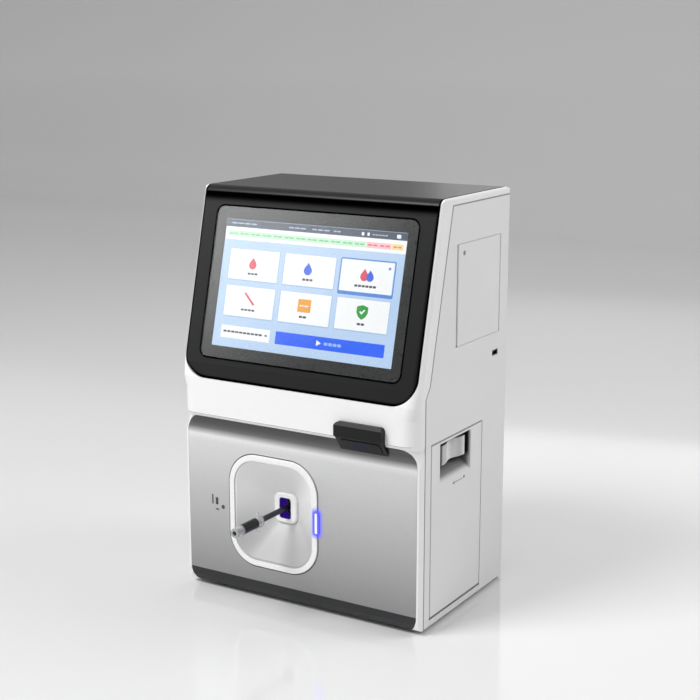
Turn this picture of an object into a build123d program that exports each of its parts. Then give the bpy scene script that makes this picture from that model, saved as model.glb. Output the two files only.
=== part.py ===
"""Benchtop blood gas analyzer.

X runs to the right, -Y is the front and +Z is up.  The origin is on the table under the middle
of the whole length, sample probe included.  Unless a name says otherwise, y values are counted
backwards from the lower front panel, and at_y() turns them into model coordinates.
"""
from build123d import *
import os
from math import cos, pi, radians, sin, tan

os.makedirs("parts", exist_ok=True)

# %% Driving dimensions, in millimetres

# Housing
width = 286.0
depth = 197.0               # lower front panel to the back edge of the side covers
height = 432.8              # table to the top of the hood
wall = 3.0                  # moulded walls; their edge is the white strip beside the panel
ground_gap = 4.0            # table to the lower edge of the covers
joint_gap = 0.3             # line between two fixed covers
seat_gap = 0.2              # between a cover and the flange it sits on
move_gap = 0.5              # line round the printer door
drawer_gap = 0.8            # line round the drawer front
slope = 14.07               # lean of the display face, degrees
skirt_tuck = 6.0            # how far the lower edge rolls in
panel_bottom = 20.0
cove_bottom = 175.0
band_bottom = 194.0
band_top = 236.0
band_proud = 8.0            # white band in front of the silver panel
band_edge = 3.0             # height of the slanted lower edge of the band
band_edge_in = 1.8          # how far that edge draws back
edge_radius = 2.4           # upright front edges beside the panel
band_radius = 18.0          # upright front edges of the white band
crown_radius = 6.0          # the same beside the top of the display
corner_blend = 14.0         # height in which the one runs into the other
rear_radius = 10.0
top_front_radius = 11.0
top_rear_radius = 15.0
top_side_radius = 4.0
seam_low = 9.5              # seam of the side covers below the display
seam_behind = 21.6          # the same seam behind the display face
top_strip = 7.3             # white strip above the side covers
panel_corner = 20.0
hood_corner = 28.0
flange_width = 10.0
flange_thickness = 2.0
lip_height = 16.0
lip_tuck = 4.0

# Display, measured up the sloped face from the lower edge of the hood
face_length = (height - band_top) / cos(radians(slope))
glass_width = width - 46.0
glass_height = face_length - 44.4
glass_centre = face_length / 2 + 1.15
glass_corner = 8.5
glass_thickness = 1.8
groove = 0.5
ledge = 6.0
lcd_width = glass_width - 9.0
lcd_height = glass_height - 8.5
lcd_thickness = 6.0
boss_radius = 4.0
boss_across = lcd_width / 2 + 9.0
boss_up = lcd_height / 2 - 3.0

# Sample port and probe
port_x = 112.0 - width / 2  # the port keeps its distance from the left side
port_z = 98.0
ring_width = 110.0
ring_height = 122.0
ring_corner = 34.0
ring_band = 6.0
ring_proud = 1.2
ring_groove = 0.7           # width and depth of the dark line round the ring
ring_seat = 1.0
ring_neck = 4.5
funnel_depth = 26.0
funnel_wall = 2.0
window_width = 28.2
window_height = 33.2
window_corner = 8.0
hole_width = 14.6
hole_height = 23.0
hole_corner = 3.0
window_front = 22.5
window_back = 31.0
wash_width = 32.0
wash_height = 38.0
probe_reach = 68.5          # probe tip in front of the lower panel
adapter_back = -25.0
adapter_radius = 5.5
flange_radius = 6.5
mouth_radius = 2.15
mouth_length = 8.0
rod_radius = 3.0
needle_radius = 0.8
collar_radius = 4.5
collar_front = -53.0
collar_back = -28.0
wing_reach = 10.0           # the adapter's two wings, above and below the tube
wing_width = 3.2
wing_thickness = 1.4
wing_clear = 0.9
liner_wall = 0.5
run_gap = 0.05              # radial running clearance
fit_gap = 0.02              # radial gap of pushed-in pieces
light_x = port_x + 54.0
light_width = 7.0
light_height = 26.0
light_proud = 1.6

# Sampler behind the port
sampler_front = 36.3
sampler_back = depth - 37.0
sampler_half = 29.0
sampler_floor = 62.0
sampler_top = 135.0
sheet = 2.0                 # bent sheet steel
guide_radius = 4.0
guide_spread = 19.0
guide_z = 84.0
screw_radius = 3.95
screw_z = 74.0
carriage_y = 40.0
carriage_length = 18.0
carriage_bottom = 65.0
carriage_top = 112.0
carriage_half = 26.0
motor_size = 28.0
motor_length = 30.0

# Barcode scanner
scanner_right = width / 2 - 35.0
scanner_left = scanner_right - 55.0
scanner_top = 214.0
scanner_edge = 199.5
scanner_front = -15.5
scanner_foot = 182.5

# Right side: reagent drawer
drawer_front_y = 22.7
drawer_back_y = 134.5
drawer_bottom = 11.0
drawer_top = 193.0
grip_front_y = 41.0
grip_back_y = 108.5
grip_bottom = 148.0
grip_top = 190.0
grip_depth = 20.0
grip_straight = 22.0
tub_wall = 2.0
lever_width = 57.0
lever_top = 185.0
lever_bottom = 164.5
pin_radius = 1.5
pin_z = 180.5
pin_x = width / 2 - 11.5
tray_inner = port_x + 43.0
tray_height = 62.0
tray_wall = 2.0
pack_top = 140.0

# Right side: printer behind its door
door_back_y = depth - 26.0
door_front_y = door_back_y - 96.0
door_top = height - 47.3
door_bottom = door_top - 102.5
paper_slit = 2.0
door_pin_radius = 1.0
button_radius = 2.5
button_y = door_front_y + 12.0
button_z = door_top - 9.5
roll_x = width / 2 - 31.0
roll_y = door_back_y - 33.0
roll_radius = 21.0
roll_bottom = door_bottom + 21.0
paper_width = 58.0
spindle_radius = 6.25
platen_x = width / 2 - 8.5
platen_y = door_front_y + 13.0
platen_radius = 4.4

# Right side: USB socket
usb_y = depth - 35.4
usb_z = door_bottom - 22.0
usb_width = 13.0
usb_height = 6.0

# Inside
base_thickness = 2.5
base_z = 6.0
foot_radius = 11.0
shelf_z = 196.0
pump_x = port_x - 69.0
pump_z = 62.0
tube_orbit = 18.5
tube_radius = 1.8
board_z = 204.2
board_thickness = 1.6

# Back
rear_proud = 2.0
rear_sheet = 1.8
return_edge = width / 2 - 15.0
fan_x = 53.0 - width / 2
fan_z = 150.0
fan_size = 60.0
fan_thickness = 15.0
inlet_x = width / 2 - 48.0
inlet_z = 36.0

# %% Values that follow from them

half = width / 2
inner_half = half - wall
open_half = inner_half
face_y = probe_reach - (depth + probe_reach + rear_proud) / 2
lean = tan(radians(slope))
top_seam = height - top_strip
base_top = base_z + base_thickness
rear_inside = depth - wall - seat_gap - rear_sheet
rear_outside = depth - wall - seat_gap
shelf_top = shelf_z + sheet


def at_y(value):
    """Model coordinate of a distance behind the lower front panel."""
    return face_y + value


def front_line(z):
    """Front face of the display slope at a height, behind the lower panel."""
    return -band_proud + (z - band_top) * lean


def block(x, y, z, mode=Mode.ADD):
    """Box between two limits along each axis."""
    size = [limits[1] - limits[0] for limits in (x, y, z)]
    with Locations(((x[0] + x[1]) / 2, at_y((y[0] + y[1]) / 2), (z[0] + z[1]) / 2)):
        Box(*size, mode=mode)


def round_bar(start, direction, radius, length, mode=Mode.ADD):
    """Cylinder that starts at a point and runs along a direction."""
    with Locations(Plane(origin=start, z_dir=direction)):
        Cylinder(radius, length, align=(Align.CENTER, Align.CENTER, Align.MIN), mode=mode)


def rounded_prism(x, z, size_x, size_z, corner, y_front, y_back, mode=Mode.ADD):
    """Rounded rectangle that faces the front, between two depths."""
    with BuildSketch(Plane(origin=(x, at_y(y_front), z), x_dir=(1, 0, 0), z_dir=(0, 1, 0))) as outline:
        RectangleRounded(size_x, size_z, corner)
    extrude(outline.sketch, amount=y_back - y_front, mode=mode)


# %% Housing form: level sections from the rolled skirt to the display slope

roll_steps = (0, 30, 60, 90)
cove_steps = (22.5, 45, 67.5, 90)


def plan_outline(z, front, corner, inset):
    """Level section of the housing with its upright edges rounded."""
    front_edge = front + inset
    back_edge = depth - inset
    with BuildSketch(Plane.XY.offset(z)) as outline:
        with Locations((0, at_y((front_edge + back_edge) / 2))):
            Rectangle(width - 2 * inset, back_edge - front_edge)
        fillet(outline.vertices().group_by(Axis.Y)[0], max(corner - inset, 0.5))
        fillet(outline.vertices().group_by(Axis.Y)[-1], rear_radius - inset)
    return outline.sketch


def rounding_cutter(plane, corner, leg_a, leg_b, radius, length):
    """What a rounded edge takes off, for an edge that crosses the plane at a corner."""
    leg_a, leg_b = Vector(*leg_a).normalized(), Vector(*leg_b).normalized()
    half_angle = radians(leg_a.get_angle(leg_b) / 2)
    reach = radius / tan(half_angle)
    bisector = (leg_a + leg_b).normalized()
    centre = Vector(*corner) + bisector * (radius / sin(half_angle))
    outside = Vector(*corner) - bisector * radius
    with BuildPart() as cutter:
        with BuildSketch(plane):
            Polygon(
                tuple(Vector(*corner) + leg_a * reach)[:2],
                tuple(outside)[:2],
                tuple(Vector(*corner) + leg_b * reach)[:2],
                align=None,
            )
            with Locations(centre):
                Circle(radius, mode=Mode.SUBTRACT)
        extrude(amount=length / 2, both=True)
    return cutter.part


def housing_form(inset):
    """Solid form of the whole housing, drawn in by an inset."""
    top = height - inset
    sections = []
    for step in roll_steps:
        angle = radians(step)
        z = ground_gap + (panel_bottom - ground_gap) * (1 - cos(angle))
        sections.append((z, skirt_tuck * (1 - sin(angle)), edge_radius))
    sections.append((cove_bottom, 0, edge_radius))
    for step in cove_steps:
        angle = radians(step)
        z = cove_bottom + (band_bottom - cove_bottom) * sin(angle)
        share = (z - cove_bottom) / (band_bottom - cove_bottom)
        radius = edge_radius + (band_radius - edge_radius) * share
        sections.append((z, -(band_proud - band_edge_in) * (1 - cos(angle)), radius))
    sections.append((band_bottom + band_edge, -band_proud, band_radius))
    sections.append((band_top - corner_blend, -band_proud, band_radius))
    sections.append((band_top, front_line(band_top), (band_radius + crown_radius) / 2))
    blend_end = band_top + corner_blend
    sections.append((blend_end, front_line(blend_end), crown_radius * 1.4))
    sections.append((top, front_line(top), crown_radius))
    outlines = [plan_outline(z, front, corner, inset) for z, front, corner in sections]
    front_top = (at_y(front_line(top) + inset), top)
    rear_top = (at_y(depth - inset), top)
    with BuildPart() as form:
        loft(outlines, ruled=True)
        add(
            rounding_cutter(
                Plane.YZ, front_top, (1, 0), (-lean, -1), top_front_radius - inset, width + 20
            ),
            mode=Mode.SUBTRACT,
        )
        add(
            rounding_cutter(
                Plane.YZ, rear_top, (-1, 0), (0, -1), top_rear_radius - inset, width + 20
            ),
            mode=Mode.SUBTRACT,
        )
        side_plane = Plane(origin=(0, at_y(depth / 2), 0), x_dir=(1, 0, 0), z_dir=(0, -1, 0))
        for side in (-1, 1):
            corner = (side * (half - inset), top)
            radius = max(top_side_radius - inset, 0.5)
            add(
                rounding_cutter(side_plane, corner, (-side, 0), (0, -1), radius, 2 * depth),
                mode=Mode.SUBTRACT,
            )
    return form.part


outer_form = housing_form(0)
inner_form = housing_form(wall)
flange_outer = housing_form(wall + seat_gap)
flange_inner = housing_form(wall + seat_gap + flange_thickness)

with BuildPart() as shell:
    add(outer_form)
    add(inner_form, mode=Mode.SUBTRACT)
    with BuildSketch(Plane.XY):
        with Locations((0, at_y((skirt_tuck + wall + depth - wall) / 2))):
            Rectangle(2 * inner_half, depth - skirt_tuck - 2 * wall)
    extrude(amount=ground_gap + wall, mode=Mode.SUBTRACT)
shell_part = shell.part

# The display face: u is +X, w runs up the slope from the lower edge of the hood
slope_origin = (0, at_y(front_line(band_top)), band_top)
lean_sin, lean_cos = sin(radians(slope)), cos(radians(slope))
slope_plane = Plane(origin=slope_origin, x_dir=(1, 0, 0), z_dir=(0, -lean_cos, lean_sin))
lip_plane = Plane(origin=slope_origin, x_dir=(0, lean_sin, lean_cos), z_dir=(1, 0, 0))


def on_slope(w, out=0.0):
    """Plane parallel to the display face, w up the slope and some way out of it."""
    return Plane(slope_plane.origin + slope_plane.y_dir * w + slope_plane.z_dir * out,
                 x_dir=(1, 0, 0), z_dir=slope_plane.z_dir)


def front_region(gap):
    """Everything in front of the side seam and above the top seam."""
    crown = band_top + 2 * wall
    bend = crown + 4 * wall
    with BuildPart() as region:
        with BuildSketch(Plane.YZ):
            Polygon(
                (at_y(-60), -10),
                (at_y(seam_low - gap), -10),
                (at_y(seam_low - gap), crown),
                (at_y(front_line(bend) + seam_behind - gap), bend),
                (at_y(front_line(top_seam) + seam_behind - gap), top_seam + gap),
                (at_y(depth + 20), top_seam + gap),
                (at_y(depth + 20), height + 20),
                (at_y(-60), height + 20),
                align=None,
            )
        extrude(amount=half + 10, both=True)
    return region.part


def hood_zone(gap):
    """Outline of the hood, run through the sloped face and the top."""
    reach = open_half - gap
    with BuildPart() as zone:
        with BuildSketch(on_slope(gap)) as outline:
            Rectangle(2 * reach, height, align=(Align.CENTER, Align.MIN))
            fillet(outline.vertices().group_by(Axis.Z)[0], hood_corner - gap)
        extrude(amount=4 * wall, both=True)
        block((-reach, reach), (front_line(height) - 2 * wall, depth + 5),
              (height - 4 * wall, height + 5))
    return zone.part


def panel_zone(gap):
    """Outline of the silver panel and the skirt, run through the lower front."""
    with BuildPart() as zone:
        with BuildSketch(Plane(origin=(0, at_y(0), 0), x_dir=(1, 0, 0), z_dir=(0, -1, 0))) as outline:
            Rectangle(2 * (open_half - gap), band_bottom - gap, align=(Align.CENTER, Align.MIN))
            fillet(outline.vertices().group_by(Axis.Z)[-1], panel_corner - gap)
        extrude(amount=3 * wall, both=True)
    return zone.part


# %% Front frame, panels and hood

with BuildPart() as front_frame:
    add(shell_part)
    add(front_region(joint_gap), mode=Mode.INTERSECT)
    add(hood_zone(0), mode=Mode.SUBTRACT)
    add(panel_zone(0), mode=Mode.SUBTRACT)
with BuildPart() as frame_flange:
    add(flange_outer)
    add(flange_inner, mode=Mode.SUBTRACT)
    add(front_region(joint_gap), mode=Mode.INTERSECT)
    clear_half = open_half - flange_width
    block((-clear_half, clear_half), (-60, depth + 5), (0, band_bottom - flange_width), Mode.SUBTRACT)
    block((-clear_half, clear_half), (-60, depth + 5), (band_top - 8, height), Mode.SUBTRACT)
    block((-inner_half, inner_half), (-60, depth + 5), (band_top - 8, band_top + lip_height + 3),
          Mode.SUBTRACT)
    block((-half, half), (-60, depth), (0, ground_gap + wall), Mode.SUBTRACT)
with BuildPart() as frame_seats:
    rib = seat_gap + 0.1
    for side in (-1, 1):
        x = sorted((side * (inner_half - flange_thickness), side * (inner_half + rib)))
        block(x, (wall + 1, seam_low - 1), (panel_bottom, cove_bottom))
        block(x, (front_line(height) + top_front_radius, depth - top_rear_radius),
              (top_seam + 1, height - wall - 1))
    block((-clear_half, clear_half), (-band_proud + wall - 0.5, 3), (band_top - 8, band_top - 2.2))
    block((-clear_half, clear_half), (-band_proud + wall - 0.5, -band_proud + wall + 1),
          (band_bottom + 1, band_bottom + 8))
with BuildPart() as front_frame_whole:
    add(front_frame.part)
    add(frame_flange.part)
    add(frame_seats.part)
front_frame_whole.part.label = "front_frame"
export_step(front_frame_whole.part, "parts/front_frame.step")

with BuildPart() as base_skirt:
    add(shell_part)
    add(panel_zone(joint_gap), mode=Mode.INTERSECT)
    block((-half, half), (-20, 3 * wall), (0, panel_bottom - joint_gap / 2), Mode.INTERSECT)
base_skirt.part.label = "base_skirt"
export_step(base_skirt.part, "parts/base_skirt.step")

light_slot = light_width + 2 * seat_gap
with BuildPart() as front_panel:
    add(shell_part)
    add(panel_zone(joint_gap), mode=Mode.INTERSECT)
    block((-half, half), (-20, 3 * wall), (panel_bottom + joint_gap / 2, band_bottom), Mode.INTERSECT)
    opening = ring_band / 2
    rounded_prism(port_x, port_z, ring_width - 2 * opening, ring_height - 2 * opening,
                  ring_corner - opening, -5, 10, Mode.SUBTRACT)
    rounded_prism(light_x, port_z, light_slot, light_height + 2 * seat_gap,
                  light_slot / 2 - 0.01, -5, 10, Mode.SUBTRACT)
    rounded_prism(port_x, port_z, ring_width + 2 * ring_groove, ring_height + 2 * ring_groove,
                  ring_corner + ring_groove, -5, ring_seat, Mode.SUBTRACT)
front_panel.part.label = "front_panel"
export_step(front_panel.part, "parts/front_panel.step")

with BuildPart() as hood_lip:
    with BuildSketch(lip_plane):
        Polygon((lip_height, 0), (lip_height, -wall - 0.5), (joint_gap, -lip_tuck - wall),
                (joint_gap, -lip_tuck), align=None)
    extrude(amount=half, both=True)
    add(hood_zone(joint_gap), mode=Mode.INTERSECT)
    add(outer_form, mode=Mode.INTERSECT)
with BuildPart() as hood_reach:
    add(front_region(joint_gap))
    block((-return_edge + move_gap, return_edge - move_gap),
          (depth - top_rear_radius, depth + 5), (height - top_rear_radius, height))
with BuildPart() as hood:
    add(shell_part)
    add(hood_reach.part, mode=Mode.INTERSECT)
    add(hood_zone(joint_gap), mode=Mode.INTERSECT)
    with BuildSketch(lip_plane):
        Polygon((-20, -20), (lip_height, -20), (lip_height, 20), (-20, 20), align=None)
    extrude(amount=half, both=True, mode=Mode.SUBTRACT)
    add(hood_lip.part)
    with BuildSketch(on_slope(glass_centre)):
        RectangleRounded(glass_width + 2 * groove, glass_height + 2 * groove, glass_corner + groove)
    extrude(amount=-glass_thickness - 0.1, mode=Mode.SUBTRACT)
    with BuildSketch(on_slope(glass_centre)):
        Rectangle(glass_width - 2 * ledge, glass_height - 2 * ledge)
    extrude(amount=-4 * wall, mode=Mode.SUBTRACT)
    with BuildSketch(on_slope(glass_centre, -wall + 0.3)):
        with GridLocations(2 * boss_across, 2 * boss_up, 2, 2):
            Circle(boss_radius)
    extrude(amount=-lcd_thickness - 0.8)
hood.part.label = "hood"
export_step(hood.part, "parts/hood.step")

with BuildPart() as display_glass:
    with BuildSketch(on_slope(glass_centre)):
        RectangleRounded(glass_width, glass_height, glass_corner)
    extrude(amount=-glass_thickness)
display_glass.part.label = "display_glass"
export_step(display_glass.part, "parts/display_glass.step")

lcd_front = -wall - seat_gap
with BuildPart() as display_panel:
    with BuildSketch(on_slope(glass_centre, lcd_front)):
        RectangleRounded(lcd_width, lcd_height, 3)
    extrude(amount=-lcd_thickness)
    with BuildSketch(on_slope(glass_centre, lcd_front - lcd_thickness)):
        Rectangle(lcd_width - 40, lcd_height - 30)
        Rectangle(lcd_width - 44, lcd_height - 34, mode=Mode.SUBTRACT)
    extrude(amount=1, mode=Mode.SUBTRACT)
display_panel.part.label = "display_panel"
export_step(display_panel.part, "parts/display_panel.step")

bracket_front = -wall + 0.3 - lcd_thickness - 0.8 - seat_gap
with BuildPart() as display_bracket:
    with BuildSketch(on_slope(glass_centre, bracket_front)):
        RectangleRounded(2 * (boss_across + boss_radius), 2 * (boss_up + boss_radius), boss_radius)
        Rectangle(lcd_width - 60, lcd_height - 60, mode=Mode.SUBTRACT)
        with GridLocations(2 * boss_across, 2 * boss_up, 2, 2):
            Circle(pin_radius, mode=Mode.SUBTRACT)
    extrude(amount=-sheet)
display_bracket.part.label = "display_bracket"
export_step(display_bracket.part, "parts/display_bracket.step")

# %% Sample port

ring_inner_width = ring_width - 2 * ring_band
ring_inner_height = ring_height - 2 * ring_band
ring_inner_corner = ring_corner - ring_band
with BuildPart() as port_ring:
    ring_back = ring_seat - 0.05
    rounded_prism(port_x, port_z, ring_width, ring_height, ring_corner, -ring_proud, ring_back)
    fillet(port_ring.faces().sort_by(Axis.Y)[0].edges(), ring_proud * 0.7)
    neck = ring_band / 2 + joint_gap
    rounded_prism(port_x, port_z, ring_width - 2 * neck, ring_height - 2 * neck,
                  ring_corner - neck, ring_back, ring_neck)
    rounded_prism(port_x, port_z, ring_inner_width, ring_inner_height, ring_inner_corner,
                  -5, ring_neck + 1, Mode.SUBTRACT)
    rounded_prism(light_x, port_z, light_slot, light_height + 2 * seat_gap,
                  light_slot / 2 - 0.01, -5, ring_neck + 1, Mode.SUBTRACT)
port_ring.part.label = "port_ring"
export_step(port_ring.part, "parts/port_ring.step")


def port_outline(y, size_x, size_z, corner):
    """Rounded rectangle about the port's centre at one depth."""
    with BuildSketch(Plane(origin=(port_x, at_y(y), port_z), x_dir=(1, 0, 0), z_dir=(0, 1, 0))) as outline:
        RectangleRounded(size_x, size_z, corner)
    return outline.sketch


with BuildPart() as port_funnel:
    mouth = 2 * seat_gap
    throat = 2 * (seat_gap + funnel_wall)
    loft([
        port_outline(0.4, ring_inner_width - mouth, ring_inner_height - mouth, ring_inner_corner - seat_gap),
        port_outline(funnel_depth, window_width + throat, window_height + throat,
                     window_corner + throat / 2),
    ])
    loft([
        port_outline(0.4, ring_inner_width - mouth - 2 * funnel_wall,
                     ring_inner_height - mouth - 2 * funnel_wall,
                     ring_inner_corner - seat_gap - funnel_wall),
        port_outline(funnel_depth, window_width + 2 * seat_gap, window_height + 2 * seat_gap,
                     window_corner + seat_gap),
    ], mode=Mode.SUBTRACT)
port_funnel.part.label = "port_funnel"
export_step(port_funnel.part, "parts/port_funnel.step")

with BuildPart() as window_frame:
    rounded_prism(port_x, port_z, window_width, window_height, window_corner, window_front, window_back)
    fillet(window_frame.faces().sort_by(Axis.Y)[0].edges(), 2)
    rounded_prism(port_x, port_z, window_width + throat, window_height + throat, window_corner + funnel_wall,
                  funnel_depth + seat_gap, funnel_depth + seat_gap + sheet)
    rounded_prism(port_x, port_z, hole_width, hole_height, hole_corner,
                  window_front - 1, window_back + 1, Mode.SUBTRACT)
window_frame.part.label = "window_frame"
export_step(window_frame.part, "parts/window_frame.step")

slot_height = 2 * (wing_reach + wing_clear)
slot_width = hole_width - 2 * liner_wall
slot_corner = hole_corner - liner_wall
with BuildPart() as wash_station:
    wash_front = window_back + seat_gap
    rounded_prism(port_x, port_z, wash_width, wash_height, 3, wash_front, sampler_front - seat_gap / 2)
    rounded_prism(port_x, port_z, hole_width - 2 * fit_gap, hole_height - 2 * fit_gap,
                  hole_corner - fit_gap, window_front + liner_wall, wash_front)
    rounded_prism(port_x, port_z, slot_width, slot_height, slot_corner,
                  window_front - 1, sampler_front + 1, Mode.SUBTRACT)
wash_station.part.label = "wash_station"
export_step(wash_station.part, "parts/wash_station.step")

with BuildPart() as status_light:
    rounded_prism(light_x, port_z, light_width, light_height, light_width / 2 - 0.01,
                  -light_proud, ring_neck)
    fillet(status_light.faces().sort_by(Axis.Y)[0].edges(), light_proud / 2)
status_light.part.label = "status_light"
export_step(status_light.part, "parts/status_light.step")

# %% Probe and its drive


def turned(profile, y_axis_x, y_axis_z):
    """Solid turned about a line along Y from (radius, y) points."""
    with BuildPart() as body:
        with BuildSketch(Plane(origin=(y_axis_x, face_y, y_axis_z), x_dir=(1, 0, 0), z_dir=(0, 0, 1))):
            with BuildLine():
                Polyline(*[(radius, y) for radius, y in profile], close=True)
            make_face()
        revolve(axis=Axis((y_axis_x, 0, y_axis_z), (0, 1, 0)))
    return body.part


tip_y = -probe_reach
mouth_back = tip_y + mouth_length
chamber_back = collar_front - 2
rod_back = carriage_y + carriage_length - 8
with BuildPart() as probe_adapter:
    add(turned([
        (mouth_radius, tip_y), (adapter_radius - 0.8, tip_y), (adapter_radius - 0.4, tip_y + 0.8),
        (adapter_radius - 0.4, mouth_back), (adapter_radius, mouth_back + 2),
        (adapter_radius, adapter_back - 3), (flange_radius, adapter_back - 3),
        (flange_radius, adapter_back), (collar_radius + 0.1, adapter_back),
        (collar_radius + 0.1, chamber_back), (collar_radius - 1, chamber_back),
        (collar_radius - 1, mouth_back), (mouth_radius, mouth_back),
    ], port_x, port_z))
    wing_back = adapter_back - 3
    block((port_x - wing_width / 2, port_x + wing_width / 2), (wing_back - wing_thickness, wing_back),
          (port_z - wing_reach, port_z + wing_reach))
    round_bar((port_x, at_y(wing_back - 2 * wing_thickness), port_z), (0, 1, 0), collar_radius + 0.1,
              3 * wing_thickness, Mode.SUBTRACT)
probe_adapter.part.label = "probe_adapter"
export_step(probe_adapter.part, "parts/probe_adapter.step")

with BuildPart() as probe_collar:
    add(turned([
        (needle_radius + fit_gap, collar_front), (collar_radius - 1.5, collar_front),
        (collar_radius, collar_front + 3), (collar_radius, collar_back - 2),
        (collar_radius - 1, collar_back), (needle_radius + fit_gap, collar_back),
    ], port_x, port_z))
probe_collar.part.label = "probe_collar"
export_step(probe_collar.part, "parts/probe_collar.step")

with BuildPart() as probe_rod:
    needle_tip = mouth_back + 0.5
    add(turned([
        (0, needle_tip), (needle_radius * 0.5, needle_tip), (needle_radius, needle_tip + 1),
        (needle_radius, collar_back + fit_gap), (rod_radius - 0.4, collar_back + fit_gap),
        (rod_radius, collar_back + 0.6), (rod_radius, rod_back), (0, rod_back),
    ], port_x, port_z))
probe_rod.part.label = "probe_rod"
export_step(probe_rod.part, "parts/probe_rod.step")

carriage_back = carriage_y + carriage_length
nut_radius = 7.0
nut_step = 3.0
with BuildPart() as probe_carriage:
    block((port_x - carriage_half, port_x + carriage_half), (carriage_y, carriage_back),
          (carriage_bottom, carriage_top))
    chamfer(probe_carriage.edges().filter_by(Axis.Y).group_by(Axis.Z)[-1], 12)
    fillet(probe_carriage.edges().filter_by(Axis.Y).group_by(Axis.Z)[0], 2)
    for side in (-1, 1):
        start = (port_x + side * guide_spread, at_y(carriage_y - 1), guide_z)
        round_bar(start, (0, 1, 0), guide_radius + run_gap, carriage_length + 2, Mode.SUBTRACT)
    round_bar((port_x, at_y(carriage_y - 1), port_z), (0, 1, 0), rod_radius + fit_gap,
              rod_back - carriage_y + 1 + fit_gap, Mode.SUBTRACT)
    round_bar((port_x, at_y(carriage_y - 1), screw_z), (0, 1, 0), nut_radius - nut_step + 1.6,
              carriage_length + 2, Mode.SUBTRACT)
probe_carriage.part.label = "probe_carriage"
export_step(probe_carriage.part, "parts/probe_carriage.step")

with BuildPart() as lead_nut:
    bore = screw_radius + run_gap
    sleeve = nut_radius - nut_step + 1.6 - fit_gap
    add(turned([
        (bore, carriage_y + 2), (sleeve, carriage_y + 2), (sleeve, carriage_back + fit_gap),
        (nut_radius, carriage_back + fit_gap), (nut_radius, carriage_back + nut_step),
        (bore, carriage_back + nut_step),
    ], port_x, screw_z))
lead_nut.part.label = "lead_nut"
export_step(lead_nut.part, "parts/lead_nut.step")

with BuildPart() as guide_rods:
    for side in (-1, 1):
        start = (port_x + side * guide_spread, at_y(sampler_front + 0.5), guide_z)
        round_bar(start, (0, 1, 0), guide_radius, sampler_back - sampler_front - 1)
guide_rods.part.label = "guide_rods"
export_step(guide_rods.part, "parts/guide_rods.step")

with BuildPart() as lead_screw:
    round_bar((port_x, at_y(sampler_front + 0.5), screw_z), (0, 1, 0), screw_radius,
              sampler_back - sampler_front - 0.4)
lead_screw.part.label = "lead_screw"
export_step(lead_screw.part, "parts/lead_screw.step")

with BuildPart() as sampler_frame:
    x = (port_x - sampler_half, port_x + sampler_half)
    block(x, (sampler_front, sampler_front + sheet), (base_top, sampler_top))
    block(x, (sampler_back - sheet, sampler_back), (base_top, sampler_top))
    block(x, (sampler_front, sampler_back), (sampler_floor - sheet, sampler_floor))
    block(x, (sampler_front, sampler_back), (sampler_top - sheet, sampler_top))
    for side in (-1, 1):
        start = (port_x + side * guide_spread, at_y(sampler_front - 1), guide_z)
        round_bar(start, (0, 1, 0), guide_radius + fit_gap, sampler_back, Mode.SUBTRACT)
    round_bar((port_x, at_y(sampler_front - 1), screw_z), (0, 1, 0), screw_radius + run_gap,
              sampler_back, Mode.SUBTRACT)
    rounded_prism(port_x, port_z, slot_width, slot_height, slot_corner,
                  sampler_front - 1, sampler_front + sheet + 1, Mode.SUBTRACT)
sampler_frame.part.label = "sampler_frame"
export_step(sampler_frame.part, "parts/sampler_frame.step")

with BuildPart() as probe_motor:
    motor_half = motor_size / 2
    block((port_x - motor_half, port_x + motor_half), (sampler_back + seat_gap, sampler_back + motor_length),
          (screw_z - motor_half, screw_z + motor_half))
    chamfer(probe_motor.edges().filter_by(Axis.Y), 3)
probe_motor.part.label = "probe_motor"
export_step(probe_motor.part, "parts/probe_motor.step")

sensor_length = 70.0
with BuildPart() as sensor_module:
    sensor_y = sampler_front + 14
    block((port_x - 25, port_x + 25), (sensor_y, sensor_y + sensor_length),
          (sampler_top + 0.1, sampler_top + 30))
    fillet(sensor_module.edges().filter_by(Axis.Z), 4)
    with BuildSketch(Plane.XY.offset(sampler_top + 30)):
        with Locations((port_x, at_y(sensor_y + sensor_length / 2))):
            with GridLocations(20, 16, 2, 4):
                Circle(4.5)
    extrude(amount=6)
sensor_module.part.label = "sensor_module"
export_step(sensor_module.part, "parts/sensor_module.step")

# %% Barcode scanner under the white band

scanner_clear = housing_form(-0.1)
with BuildPart() as scanner_housing:
    with BuildSketch(Plane.YZ.offset(scanner_left)):
        with BuildLine():
            Polyline(
                (at_y(4), scanner_foot), (at_y(-0.5), scanner_foot),
                (at_y(scanner_front + 2), scanner_edge), (at_y(scanner_front), scanner_edge),
                (at_y(scanner_front), scanner_top - 3), (at_y(scanner_front + 3), scanner_top),
                (at_y(4), scanner_top), close=True,
            )
        make_face()
    extrude(amount=scanner_right - scanner_left)
    add(scanner_clear, mode=Mode.SUBTRACT)
    fillet(scanner_housing.edges().filter_by(Axis.Y).filter_by(
        lambda edge: edge.center().Z > scanner_edge + 5), 4)
scanner_housing.part.label = "scanner_housing"
export_step(scanner_housing.part, "parts/scanner_housing.step")

window_top = Vector(0, at_y(scanner_front + 2), scanner_edge)
window_foot = Vector(0, at_y(-0.5), scanner_foot)
window_run = window_foot - window_top
scanner_plane = Plane(
    origin=((scanner_left + scanner_right) / 2, (window_top.Y + window_foot.Y) / 2,
            (window_top.Z + window_foot.Z) / 2),
    x_dir=(1, 0, 0), z_dir=Vector(1, 0, 0).cross(window_run) * -1,
)
with BuildPart() as scanner_window:
    with BuildSketch(scanner_plane):
        RectangleRounded(scanner_right - scanner_left - 10, window_run.length - 8, 2)
    extrude(amount=0.6)
scanner_window.part.label = "scanner_window"
export_step(scanner_window.part, "parts/scanner_window.step")

# %% Side covers

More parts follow.
